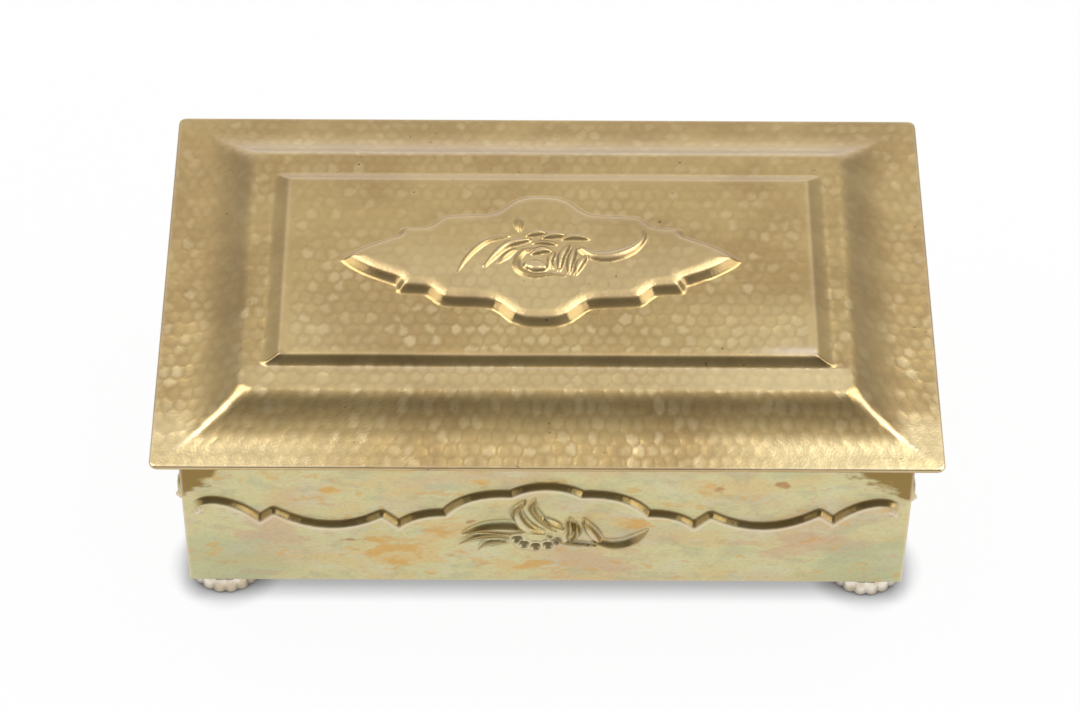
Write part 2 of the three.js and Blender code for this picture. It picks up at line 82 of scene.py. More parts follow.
# The lid from its rim inwards and from the brim upwards
SHEET = 1.0
HEM_DROP = 0.4
HEM_WIDTH = 3.2
RIM_RADIUS = 2.5
RIM_ROUND = 0.5
BRIM_WIDTH = 8.2
BRIM_RISE = 0.8
COVE_WIDTH = 15.7
COVE_RISE = 7.2
COVE_FOLD = 0.28
COVE_POWER = 2.2
COVE_SHOULDER = 0.28
END_STRETCH = 0.93
SIDE_STRETCH = 1.04
PANEL_SIDE = 87.55
PANEL_SHIFT = 0.25
PANEL_FRONT = -40.3
PANEL_BACK = 41.85
PANEL_BEVEL_FRONT = 2.85
PANEL_BEVEL_BACK = 5.2
PANEL_BEVEL = 5.4
PANEL_RISE = 2.5
PANEL_POWER = 1.2
PANEL_CROWN = 0.12
PANEL_CROWN_REACH = 2.6
PANEL_RADIUS = 2.4
EDGE_ROUND = 0.3
SEAT = HEM_BOTTOM + HEM_DROP
BRIM_TOP = SEAT + SHEET

# The hollow underside, which is the frame's own
UNDER_BRIM = 10.5
UNDER_COVE = 16.5
UNDER_RISE = 8.2
UNDER_INSET = 34.0
GRID_INSET = 30.0

# The walls' grid: lines close to the edges, where the inner lines start, and how far the closer ones reach
WALL_EDGE_LINES = np.array([0.0, 0.06, 0.2, 0.4])
WALL_INNER = 0.9
SCROLL_HALF = 34.0
SCROLL_LOW = 10.0
APRON_LOW, APRON_HIGH = 26.0, 48.5

# Bands of the lid's grid, closer over the scroll and the panel's edges: where each ends, and its spacing
LID_BANDS_X = [(-85, 0.8), (-80, 0.4), (-32, 0.8), (33, 0.45), (80, 0.8), (85, 0.4)]
LID_BANDS_Y = [(-41, 0.6), (-37, 0.35), (-28, 0.8), (19, 0.45), (35.5, 0.8), (39.5, 0.4)]

# The cartouche: half sizes, the shift of its middle, and a quarter of its outline as shares of the half sizes
CARTOUCHE_HALF = np.array([62.2, 27.7])
CARTOUCHE_MIDDLE = np.array([-2.0, 1.5])
CARTOUCHE_RISE = 2.6
CARTOUCHE_BEVEL = 3.0
CARTOUCHE_POWER = 1.15
CARTOUCHE_CROWN = 0.4
CARTOUCHE_CROWN_REACH = 3.4
CARTOUCHE_FOOT = 0.2
CARTOUCHE_QUARTER = [
    (1.0, 0.0), (0.95, 0.11), (0.86, 0.24), (0.72, 0.38), (0.71, 0.5), (0.57, 0.51), (0.5, 0.69),
    (0.245, 0.71), (0.15, 0.92), (0.08, 0.985), (0.0, 1.0),
]

# The walls' edges, and half the apron line, as shares of its half run and the walls' rise
WALL_ROUND = 0.4
APRON_END = 4.4
APRON_BEVEL = 1.6
APRON_FADE = 13.0
APRON_ARCS = [
    [(0.0, 0.739), (0.06, 0.736), (0.099, 0.68)],
    [(0.099, 0.68), (0.232, 0.692), (0.288, 0.536)],
    [(0.288, 0.536), (0.38, 0.541), (0.423, 0.442)],
    [(0.423, 0.442), (0.447, 0.486), (0.471, 0.529)],
    [(0.471, 0.529), (0.624, 0.342), (0.781, 0.548)],
    [(0.781, 0.548), (0.801, 0.516), (0.822, 0.483)],
    [(0.822, 0.483), (0.887, 0.62), (0.952, 0.625)],
    [(0.952, 0.625), (0.998, 0.625), (1.0, 0.552)],
]

# Chased strokes in millimetres: the line, its half width, its height as a share of the relief, where it is
# widest, how wide it is at its two ends, the share of the half width that slopes, and its half width on the
# right hand of the line where that differs
Stroke = namedtuple(
    "Stroke", "points width height belly start end flank right", defaults=(1.0, 0.5, 0.2, 0.2, 0.7, None))

LID_STROKES = [
    Stroke([(-26.1, -7.2), (-23.4, -1.4), (-20.1, 3.2), (-16.3, 6.4), (-10.0, 8.2)],
           1.3, 0.6, 0.6, 0.15, 0.4, 0.9),
    Stroke([(-17.6, -4.6), (-13.9, 0.8), (-10.1, 4.6), (-4.0, 6.4)], 1.6, 0.95, 0.7, 0.3, 0.6, 0.8),
    Stroke([(-13.4, -3.4), (-10.6, 0.0), (-8.0, 2.4)], 1.3, 0.75, 0.6, 0.2, 0.5, 0.9),
    Stroke([(-0.6, 2.9), (-5.4, 1.7), (-7.6, -2.2), (-6.6, -6.4), (-2.2, -8.6), (3.0, -8.0), (7.4, -8.6)],
           1.5, 0.6, 0.4, 0.5, 0.3, 1.0),
    Stroke([(-4.0, -4.3), (-1.8, -4.6), (0.4, -4.9)], 2.8, 1.0, 0.5, 0.7, 0.7, 0.5),
    Stroke([(-2.4, 0.8), (0.2, 2.2), (2.6, 1.8)], 1.8, 0.9, 0.5, 0.5, 0.5),
    Stroke([(4.4, 1.4), (2.8, -2.0), (3.4, -5.6)], 1.3, 0.8, 0.4, 0.3, 0.3),
    Stroke([(8.6, 4.0), (6.4, -0.4), (5.6, -6.4)], 1.5, 0.95, 0.4, 0.4, 0.3),
    Stroke([(10.6, 3.0), (9.2, -2.4), (8.6, -7.6)], 1.5, 0.95, 0.4, 0.4, 0.3),
    Stroke([(14.0, -0.6), (12.0, -3.6), (10.6, -8.0)], 1.6, 0.85, 0.4, 0.4, 0.3),
    Stroke([(12.6, 2.6), (16.6, 0.0), (22.0, 0.0), (28.0, 2.8), (31.8, 7.2), (32.2, 11.4)],
           2.5, 1.0, 0.4, 0.5, 0.1, 0.7),
    Stroke([(-7.3, 15.8), (-6.9, 12.6), (-6.6, 9.6)], 1.9, 0.6, 0.35, 0.3, 0.1, 0.9),
    Stroke([(-4.6, 8.0), (-2.0, 9.4), (1.2, 9.4)], 1.7, 0.9, 0.5, 0.3, 0.5, 0.8),
    Stroke([(0.4, 7.2), (3.6, 8.6), (7.2, 8.4)], 1.7, 0.95, 0.5, 0.3, 0.5, 0.8),
    Stroke([(6.8, 6.8), (10.4, 8.0), (14.6, 7.2)], 1.6, 0.9, 0.5, 0.3, 0.4, 0.8),
    Stroke([(-2.6, 5.0), (1.0, 5.4), (4.8, 4.6)], 1.2, 0.7, 0.5, 0.3, 0.3, 0.8),
]

WALL_STROKES = [
    Stroke([(-26.2, -3.6), (-20.6, -1.2), (-15.0, -0.3), (-8.6, -0.6)], 2.6, 1.0, 0.85, 0.1, 0.8, 1.0, 5.0),
    Stroke([(-27.6, -9.4), (-24.2, -6.4), (-20.3, -4.6), (-15.5, -4.2), (-11.4, -5.4)],
           1.2, 0.45, 0.6, 0.1, 0.5, 1.0, 3.0),
    Stroke([(-21.4, -12.0), (-19.5, -8.8), (-16.4, -7.4), (-12.4, -7.8)], 1.0, 0.4, 0.6, 0.1, 0.5, 1.0, 2.4),
    Stroke([(-6.6, 13.2), (-8.9, 9.6), (-9.0, 5.4), (-7.4, 1.4), (-4.6, -1.4), (-0.8, -3.0)],
           1.9, 0.95, 0.6, 0.3, 0.3, 0.5),
    Stroke([(-3.4, 14.4), (-4.4, 9.2), (-2.4, 4.2), (0.6, 0.0), (3.0, -2.4)], 1.3, 0.65, 0.5, 0.3, 0.3, 0.7),
    Stroke([(-1.2, 3.9), (2.3, 1.1), (5.2, -1.2)], 1.0, 0.6, 0.5, 0.4, 0.4),
    Stroke([(7.1, 2.9), (7.5, -1.2), (6.5, -4.9)], 1.1, 0.85, 0.4, 0.5, 0.3),
    Stroke([(9.2, 1.0), (9.6, -3.2), (7.8, -7.4)], 1.1, 0.85, 0.4, 0.5, 0.3),
    Stroke([(11.6, 2.4), (13.8, -2.2), (16.2, -6.2)], 1.7, 1.0, 0.6, 0.4, 0.6, 0.6),
    Stroke([(15.0, -7.4), (20.3, -9.4), (24.9, -8.8), (28.6, -5.8), (31.6, -0.6)],
           2.7, 1.0, 0.45, 0.5, 0.1, 1.0, 1.6),
    Stroke([(0.2, -4.8), (4.1, -7.0), (7.6, -8.4), (15.5, -9.6)], 1.3, 0.5, 0.4, 0.4, 0.4, 1.0),
]

# Hammer marks: longer from front to back than across by one over MARK_SQUASH, how far each strays from the
# honeycomb as a share of its width, how far its floor leans, and how its bowl rises with the distance squared
MARK_SQUASH = 0.8
MARK_STRAY = 0.17
MARK_LEAN = 0.3
MARK_BOWL = (2.0, 8.0)
MARK_SINK = 0.6

# Slow unevenness of the sheet: the depth of its waves on the lid and on the walls, and their lengths
LID_WAVE, LID_WAVE_LENGTH = 0.06, 32.0
WALL_WAVE, WALL_WAVE_LENGTH = 0.1, 26.0

# Polish and painted highlight where hands have polished the lid, as ranges in millimetres over which they set
# in
POLISH_AND_HIGHLIGHT_BRIM_Y = (48.0, 60.0)
POLISH_AND_HIGHLIGHT_BRIM_INSET = (8.0, 15.0)
POLISH_AND_HIGHLIGHT_LEFT_X = (40.0, 92.0)
POLISH_AND_HIGHLIGHT_RIGHT_X = (35.0, 85.0)
POLISH_AND_HIGHLIGHT_LEDGE_X = (20.0, 72.0)
LEDGE_BACK = -40.0
POLISH_AND_HIGHLIGHT_PANEL_X = (30.0, 75.0)
POLISH_AND_HIGHLIGHT_PANEL_Y = (5.0, 35.0)
POLISH_AND_HIGHLIGHT_PAD_Y = (-12.0, 8.0)
HIGHLIGHT_PANEL_X = (58.0, 78.0)

# How pale the lid is painted in each place, as wear and painted highlight, and how dark painted shade makes
# it in others
LID_WEAR_AND_HIGHLIGHT = {
    "mitre": 0.35, "panel_corner": 0.8, "panel_foot": 0.3, "panel_edge": 0.12, "rim": 0.25, "pad_edge": 0.15,
    "scroll": 0.1,
}
LID_PAINTED_SHADE = {"scroll": 2.6, "panel_mitre": 4.6, "shoulder": 2.0, "mitre": 2.0}

# How far the middle of the wall's scroll lies below the wall's top
SCROLL_DROP = 36.0

# The palmette under the wall's scroll: dark pits on an arc between two turns, each with a raised rim
PITS = 5
PIT_MIDDLE = np.array([-2.8, -5.2])
PIT_ARC = np.array([6.4, 4.6])
PIT_TURNS = np.radians([-76.0, 66.0])
PIT_RADIUS = 1.6
PIT_RIM = 2.9
PIT_DEPTH = 0.3

# How deep the ground sinks round a stroke, as a share of its relief, on the lid and the wall, and how far out
LID_SINK = 0.05
WALL_SINK = 0.22
SINK_REACH = 0.8

# Stains on the front wall: along and up it from the middle of its bottom edge, half width and half height
STAINS = {
    "ochre": [
        (-46, 16, 20, 11), (-31, 26, 9, 7), (-66, 44, 5, 3), (-20, 49, 6, 3), (28, 30, 9, 5), (-8, 8, 14, 4),
    ],
    "rosy": [(17, 11, 22, 7), (79, 19, 24, 11), (-84, 24, 18, 12), (-90, 4, 12, 2)],
    "copper": [(53.6, 46, 2.6, 3.2), (72.4, 48, 3.2, 1.9), (-23.6, 30.4, 2.2, 2.0), (-61, 21, 4.0, 1.6)],
}

# The share of the floor's white that is its own glow, by the kind of ray, and the reach and strength of a
# painted contact shadow that dims the glow near the object
FLOOR_GLOW = {"Is Camera Ray": 0.95, "Is Glossy Ray": 0.85, "Is Transmission Ray": 0.85}
PAINTED_SHADOW_REACH = 0.0075
PAINTED_SHADOW_DEPTH = 1.6

# The lights on the right, which the left mirrors: their size and places in metres
SOFTBOX_SIZE = 0.75
SOFTBOX_PLACE = np.array([0.75, 0.3, 1.26])
STRIP_PLACE = np.array([1.23, -0.22, 0.82])

# Studio air: an even level, and glows that rise with the cosine to a direction from low to high
AIR_LEVEL = 0.12
AIR_GLOWS = [
    ((0.0, 1.0, 0.0), -1.0, 0.35, 0.63),
    ((0.0, 1.0, 0.0), 0.8, 1.0, 0.25),
    ((0.0, -1.0, 0.0), 0.78, 1.0, 0.5),
    ((-1.0, 0.0, 0.0), 0.3, 0.8, -0.28),
    ((1.0, 0.0, 0.0), 0.3, 0.8, -0.28),
    ((-0.29, 0.41, 0.865), 0.978, 0.995, 1.5),
    ((0.29, 0.41, 0.865), 0.978, 0.995, 2.05),
    ((-0.82, -0.52, 0.24), 0.94, 1.0, 1.0),
    ((0.82, -0.52, 0.24), 0.94, 1.0, 3.0),
]


# Plan shapes


def smoothstep(value, low, high):
    """A smooth rise from 0 at low to 1 at high."""
    share = np.clip((value - low) / (high - low), 0.0, 1.0)
    return share * share * (3.0 - 2.0 * share)


def soft_floor(value, soft):
    """The greater of value and 0, with the corner between them rounded."""
    corner = np.clip(value + soft, 0.0, 2.0 * soft)
    return corner ** 2 / (4.0 * soft) + np.maximum(value - soft, 0.0)


def ramp(share, soft):
    """A straight rise from 0 to 1 with both its ends rounded."""
    return soft_floor(share, soft) - soft_floor(share - 1.0, soft)


def crest(value, middle, width):
    """A soft line of strength 1 along value = middle."""
    return np.exp(-((value - middle) / width) ** 2)


def band(value, low, high, fall, end):
    """A smooth rise from 0 at low to 1 at high, and a fall from 1 at fall to 0 at end."""
    return smoothstep(value, low, high) * (1.0 - smoothstep(value, fall, end))


def curve(points, steps=8):
    """A smooth line through points."""
    points = np.asarray(points, float)
    ends = np.vstack([2 * points[0] - points[1], points, 2 * points[-1] - points[-2]])
    share = np.linspace(0.0, 1.0, steps, endpoint=False)[:, None]
    pieces = []
    for a, b, c, d in zip(ends, ends[1:], ends[2:], ends[3:]):
        cubic = (2 * a - 5 * b + 4 * c - d) * share ** 2 + (3 * b - a - 3 * c + d) * share ** 3
        pieces.append(0.5 * (2 * b + (c - a) * share + cubic))
    return np.vstack(pieces + [points[-1:]])


def along_line(x, y, line):
    """Distance of points from a line, the share of its length there, and which are right of it."""
    steps = np.diff(line, axis=0)
    lengths = np.hypot(steps[:, 0], steps[:, 1])
    begun = np.concatenate([[0.0], np.cumsum(lengths)])
    best = np.full(x.shape, np.inf)
    share = np.zeros(x.shape)
    on_right = np.zeros(x.shape, bool)
    for start, step, length, before in zip(line, steps, lengths, begun):
        across, up = x - start[0], y - start[1]
        place = np.clip((across * step[0] + up * step[1]) / length ** 2, 0.0, 1.0)
        far = np.hypot(across - place * step[0], up - place * step[1])
        nearer = far < best
        best = np.where(nearer, far, best)
        share = np.where(nearer, (before + place * length) / begun[-1], share)
        on_right = np.where(nearer, step[0] * up < step[1] * across, on_right)
    return best, share, on_right


def within(x, y, outline):
    """Which points lie inside a closed outline."""
    inside = np.zeros(x.shape, bool)
    for (x0, y0), (x1, y1) in zip(outline, outline[1:]):
        if y0 == y1:
            continue
        crosses = (y0 > y) != (y1 > y)
        inside ^= crosses & (x < x0 + (y - y0) * (x1 - x0) / (y1 - y0))
    return inside


def waves(x, y, length, seed):
    """Slow unevenness of hand-worked sheet, between about -1 and 1."""
    rng = np.random.default_rng(seed)
    total = np.zeros(x.shape)
    for turn in rng.uniform(0.0, math.tau, 5):
        phase = (x * math.cos(turn) + y * math.sin(turn)) / (length * rng.uniform(0.7, 1.6))
        total += np.sin(math.tau * phase + rng.uniform(0.0, math.tau))
    return total / 3.0


def hammer_marks(x, y, mark, seed):
    """Overlapping shallow dents on a loose honeycomb, as a hammer leaves: height, a painted highlight paler
    at each dent's middle, and painted shade along their edges.
    """
    rng = np.random.default_rng(seed)
    row = mark * math.sqrt(0.75)
    column_of = np.floor((x - x.min()) / mark).astype(int) + 2
    row_of = np.floor((y - y.min()) / row).astype(int) + 2
    shape = (row_of.max() + 3, column_of.max() + 3)
    offset_x, offset_y = rng.uniform(-MARK_STRAY, MARK_STRAY, (2, *shape)) * mark
    lean_x, lean_y = rng.normal(0.0, MARK_LEAN, (2, *shape))
    depth = rng.uniform(0.5, 1.0, shape)
    # Painted highlight: a random strength for the pale glint in each mark
    glint = rng.uniform(0.0, 1.0, shape) ** 2
    lowest, second = np.full((2, *x.shape), np.inf)
    tone = np.zeros(x.shape)
    for row_step in (-1, 0, 1):
        for column_step in (-1, 0, 1):
            r, c = row_of + row_step, column_of + column_step
            away_x = (x - x.min() - offset_x[r, c]) / mark - (c - 1.5 + 0.5 * (r % 2))
            away_y = (y - y.min() - offset_y[r, c] - (r - 1.5) * row) / mark
            away = away_x ** 2 + away_y ** 2
            bowl = MARK_BOWL[0] * away + MARK_BOWL[1] * away ** 2 - MARK_SINK * depth[r, c]
            bowl += lean_x[r, c] * away_x + lean_y[r, c] * away_y
            second = np.minimum(second, np.maximum(lowest, bowl))
            tone = np.where(bowl < lowest, glint[r, c], tone)
            lowest = np.minimum(lowest, bowl)
    clear = second - lowest
    # Pale middles are a painted highlight; the crest where two marks meet is painted shade
    return lowest, tone * smoothstep(clear, 0.2, 4.0), crest(clear, 0.0, 1.5)


def chased(x, y, strokes, sink):
    """Height of the strokes as a share of the relief: up to 1 on them, and below 0 close round them."""
    relief = np.zeros(x.shape)
    sunk = np.zeros(x.shape)
    for stroke in strokes:
        line = curve(stroke.points)
        reach = max(stroke.width, stroke.right or 0.0) + 2.5 * SINK_REACH
        low, high = line.min(0) - reach, line.max(0) + reach
        near = (x > low[0]) & (x < high[0]) & (y > low[1]) & (y < high[1])
        far, share, on_right = along_line(x[near], y[near], line)
        rising = np.sin(0.5 * math.pi * np.clip(share / stroke.belly, 0.0, 1.0))
        falling = np.sin(0.5 * math.pi * np.clip((1.0 - share) / (1.0 - stroke.belly), 0.0, 1.0))
        full = np.minimum(stroke.start + (1 - stroke.start) * rising, stroke.end + (1 - stroke.end) * falling)
        width = np.where(on_right, stroke.right or stroke.width, stroke.width) * full
        rise = ramp((1.0 - far / width) / stroke.flank, 0.3) * (stroke.height + sink) * np.sqrt(full)
        relief[near] = np.maximum(relief[near], rise)
        past = np.maximum(far - width, 0.0) / SINK_REACH
        sunk[near] = np.maximum(sunk[near], np.sqrt(full) * np.exp(-past ** 2))
    return relief - sink * sunk


def palmette(u, v):
    """How deep each point lies in one of the palmette's pits, and how far it lies on a rim, from 0 to 1."""
    pit = np.zeros(u.shape)
    rim = np.zeros(u.shape)
    for turn in np.linspace(*PIT_TURNS, PITS):
        middle = PIT_MIDDLE + PIT_ARC * [math.sin(turn), -math.cos(turn)]
        far = np.hypot(u - middle[0], v - middle[1])
        pit = np.maximum(pit, 1.0 - smoothstep(far, 0.5 * PIT_RADIUS, 1.2 * PIT_RADIUS))
        rim = np.maximum(rim, crest(far, 0.5 * (PIT_RADIUS + PIT_RIM), 0.45 * (PIT_RIM - PIT_RADIUS)))
    return pit, rim * (1.0 - pit)


def cartouche_outline():
    """The lobed outline of the cartouche as a closed line about its middle, with its corners cut round."""
    quarter = np.array(CARTOUCHE_QUARTER) * CARTOUCHE_HALF
    tip = curve(quarter[:4], 4)
    crown = curve(quarter[-3:], 4)
    quarter = np.vstack([tip, quarter[4:-3], crown])
    half = np.vstack([quarter, (quarter * [-1, 1])[-2::-1]])
    outline = np.vstack([half, (half * [1, -1])[-2::-1]])
    for share in (0.14, 0.25):
        step = outline[1:] - outline[:-1]
        outline = np.stack([outline[:-1] + share * step, outline[1:] - share * step], 1).reshape(-1, 2)
        outline = np.vstack([outline, outline[:1]])
    return outline


def apron_line(run):
    """The whole apron line on a wall: along the wall and up from its bottom edge, in millimetres."""
    share = np.linspace(0.0, 1.0, 9)[:, None]
    half = []
    for start, bend, end in np.array(APRON_ARCS):
        half.append((1 - share) ** 2 * start + 2 * share * (1 - share) * bend + share ** 2 * end)
    half = np.vstack([half[0]] + [arc[1:] for arc in half[1:]]) * [run, WALL_RISE]
    return np.vstack([(half * [-1, 1])[::-1], half[1:]])


# Surfaces as heights over a plan


def raised(into, rise, bevel, power, crown, reach):
    """Height of a raised field from its foot inwards: a bevel that steepens a little, and a soft crown."""
    side = rise * (np.maximum(into, 0.0) / bevel) ** power
    top = rise - crown * np.clip(1.0 - (into - bevel) / reach, 0.0, 1.0) ** 2
    return side - soft_floor(side - top, EDGE_ROUND)


def coved(share):
    """Rise of the lid's slope from brim to plateau: a fold, a hollow that steepens, and a round shoulder."""
    share = np.maximum(share, 0.0)
    hollow = COVE_FOLD * share + (1.0 - COVE_FOLD) * share ** COVE_POWER
    return hollow - soft_floor(hollow - 1.0, COVE_SHOULDER)


def lid_slope(x, y):
    """Distance in from the lid's rim, share of the slope's rise, and distance past the mitre to the ends."""
    from_end, from_side = RIM_X - np.abs(x), RIM_Y - np.abs(y)
    ends, sides = END_STRETCH * from_end, SIDE_STRETCH * from_side
    blend = 1.0 + 3.0 * smoothstep(np.minimum(from_end, from_side), BRIM_WIDTH, BRIM_WIDTH + COVE_WIDTH)
    lean = np.clip(0.5 + 0.5 * (sides - ends) / blend, 0.0, 1.0)
    inset = sides * (1 - lean) + ends * lean - blend * lean * (1 - lean)
    return inset, coved((inset - BRIM_WIDTH) / COVE_WIDTH), ends - sides


def panel_plan(x, y):
    """Distances in from the panel's foot all round, in from its front alone, and past its corners' mitres."""
    past_front = (y - PANEL_FRONT) * PANEL_BEVEL / PANEL_BEVEL_FRONT
    past_back = (PANEL_BACK - y) * PANEL_BEVEL / PANEL_BEVEL_BACK
    corner_x = np.abs(x - PANEL_SHIFT) - PANEL_SIDE + PANEL_RADIUS
    corner_y = PANEL_RADIUS - np.minimum(past_front, past_back)
    outside = np.hypot(np.maximum(corner_x, 0.0), np.maximum(corner_y, 0.0))
    into_panel = PANEL_RADIUS - outside - np.minimum(np.maximum(corner_x, corner_y), 0.0)
    return into_panel, past_front, corner_x - corner_y


def into_cartouche(u, v):
    """Distance in from the cartouche's foot, and below 0 outside it."""
    outline = cartouche_outline()
    far = along_line(u, v, outline)[0]
    return np.where(within(u, v, outline), far, -far) + CARTOUCHE_FOOT


def lid_surface(x, y, shape):
    """Height of the lid's upper face at plan points, and masks of wear with painted highlight, a painted
    highlight in each mark, painted shade, and polish with painted highlight.
    """
    inset, slope, past_mitre = lid_slope(x, y)
    into_panel, past_front, past_corner = panel_plan(x, y)
    u, v = x - CARTOUCHE_MIDDLE[0], y - CARTOUCHE_MIDDLE[1]
    into_pad = into_cartouche(u, v)
    relief = chased(u, v, LID_STROKES, LID_SINK)
    z = BRIM_TOP + BRIM_RISE * np.clip(inset / BRIM_WIDTH, 0.0, 1.0) + COVE_RISE * slope
    z += raised(into_panel, PANEL_RISE, PANEL_BEVEL, PANEL_POWER, PANEL_CROWN, PANEL_CROWN_REACH)
    z += raised(
        into_pad, CARTOUCHE_RISE, CARTOUCHE_BEVEL, CARTOUCHE_POWER, CARTOUCHE_CROWN, CARTOUCHE_CROWN_REACH)
    z += shape.lid_relief / MM * relief

    # Polished by hands and lightened as a painted highlight: the brim's front corners, the ledge before the
    # panel, its front, and the cartouche
    in_front = y < 0
    corners = smoothstep(-y, *POLISH_AND_HIGHLIGHT_BRIM_Y) * (1.0 - smoothstep(inset, *POLISH_AND_HIGHLIGHT_BRIM_INSET))
    corners *= 0.75 * smoothstep(-x, *POLISH_AND_HIGHLIGHT_LEFT_X) + smoothstep(x, *POLISH_AND_HIGHLIGHT_RIGHT_X)
    ledge = smoothstep(slope, 0.985, 1.0) * (1.0 - smoothstep(into_panel, -1.5, 0.0)) * (y < LEDGE_BACK)
    ledge *= 0.4 + 0.6 * smoothstep(x, *POLISH_AND_HIGHLIGHT_LEDGE_X)
    level = smoothstep(into_panel, PANEL_BEVEL, PANEL_BEVEL + 2.0) * smoothstep(-y, *POLISH_AND_HIGHLIGHT_PANEL_Y)
    level *= 0.3 * smoothstep(-x, *POLISH_AND_HIGHLIGHT_PANEL_X) + 0.5 * smoothstep(x, *POLISH_AND_HIGHLIGHT_PANEL_X)
    pad = smoothstep(into_pad, CARTOUCHE_BEVEL, CARTOUCHE_BEVEL + 2.0)
    pad *= 0.1 + 0.35 * smoothstep(-v, *POLISH_AND_HIGHLIGHT_PAD_Y)
    polish = np.maximum.reduce([corners, ledge, level, pad])

    # Hammered all over, but faintly at the rim, on bevels, strokes and steep ends, and where it is polished
    plain = smoothstep(inset, 0.3, 1.3) * (1.0 - 0.5 * corners) * (1.0 - 0.5 * ledge)
    plain *= 1.0 - 0.9 * band(into_panel, 0.0, 2.5, 7.0, 9.0)
    plain *= 1.0 - 0.9 * band(into_pad, -0.8, 0.2, 4.0, 6.0)
    plain *= 1.0 - 0.35 * smoothstep(into_pad, 3.0, 4.2)
    plain *= 1.0 - 0.8 * smoothstep(relief, 0.05, 0.3)
    towards_end = RIM_Y - np.abs(y) - RIM_X + np.abs(x)
    plain *= 1.0 - 0.6 * smoothstep(towards_end, 0.0, 6.0) * slope * (1.0 - slope) * 4.0
    plain *= 1.1 - 0.55 * smoothstep(y, -40.0, 20.0)
    dents, tone, painted_shade = hammer_marks(x, MARK_SQUASH * y, shape.mark_width / MM, 3)
    z += shape.mark_depth / MM * dents * plain
    z -= LID_WAVE * (1.0 + waves(x, y, LID_WAVE_LENGTH, 5)) * smoothstep(inset, 1.0, 6.0)
    tone = tone * plain * (1.0 - 1.4 * slope * (1.0 - slope))

    # Worn pale and painted highlight on edges, painted shade in corners, on the scroll's flanks and between
    # the marks
    mitre = crest(past_mitre, 0.0, 1.0) * smoothstep(inset, 3.0, 8.0)
    mitre *= (1.0 - smoothstep(slope, 0.85, 0.97)) * in_front
    panel_corner = smoothstep(x, *HIGHLIGHT_PANEL_X) * crest(past_front, 9.0, 2.8)
    panel_corner *= smoothstep(into_panel, 5.0, 6.0)
    # Wear and painted highlight: pale mitres, the panel's front right corner and foot, the rim, the top edges
    # and the scroll's tops
    wear_and_highlight = np.maximum.reduce([
        LID_WEAR_AND_HIGHLIGHT["mitre"] * mitre,
        LID_WEAR_AND_HIGHLIGHT["panel_corner"] * panel_corner,
        LID_WEAR_AND_HIGHLIGHT["panel_foot"] * crest(into_panel, -0.7, 1.0) * (y < PANEL_FRONT),
        LID_WEAR_AND_HIGHLIGHT["rim"] * crest(inset, 0.2, 0.7),
        LID_WEAR_AND_HIGHLIGHT["panel_edge"] * crest(into_panel, PANEL_BEVEL + 0.2, 0.8),
        LID_WEAR_AND_HIGHLIGHT["pad_edge"] * crest(into_pad, CARTOUCHE_BEVEL + 0.2, 0.8),
        LID_WEAR_AND_HIGHLIGHT["scroll"] * smoothstep(relief, 0.6, 0.95),
    ])
    flank = band(relief, 0.02, 0.12, 0.45, 0.75)
    panel_mitre = crest(past_corner, 0.0, 1.8) * band(into_panel, -1.5, -0.3, 5.8, 7.2) * in_front
    shoulder = crest(inset, BRIM_WIDTH + 1.04 * COVE_WIDTH, 1.8) * in_front
    # Painted shade: darker between marks, on the scroll's flanks, in the panel's front corners, along the
    # front shoulder and mitres
    shade_mask = np.maximum.reduce([
        painted_shade * plain,
        LID_PAINTED_SHADE["scroll"] * flank,
        LID_PAINTED_SHADE["panel_mitre"] * panel_mitre,
        LID_PAINTED_SHADE["shoulder"] * shoulder,
        LID_PAINTED_SHADE["mitre"] * mitre,
    ])
    return z, {"wear_and_highlight": wear_and_highlight, "mark": tone, "painted_shade": shade_mask, "polish": polish * (1.0 - flank)}


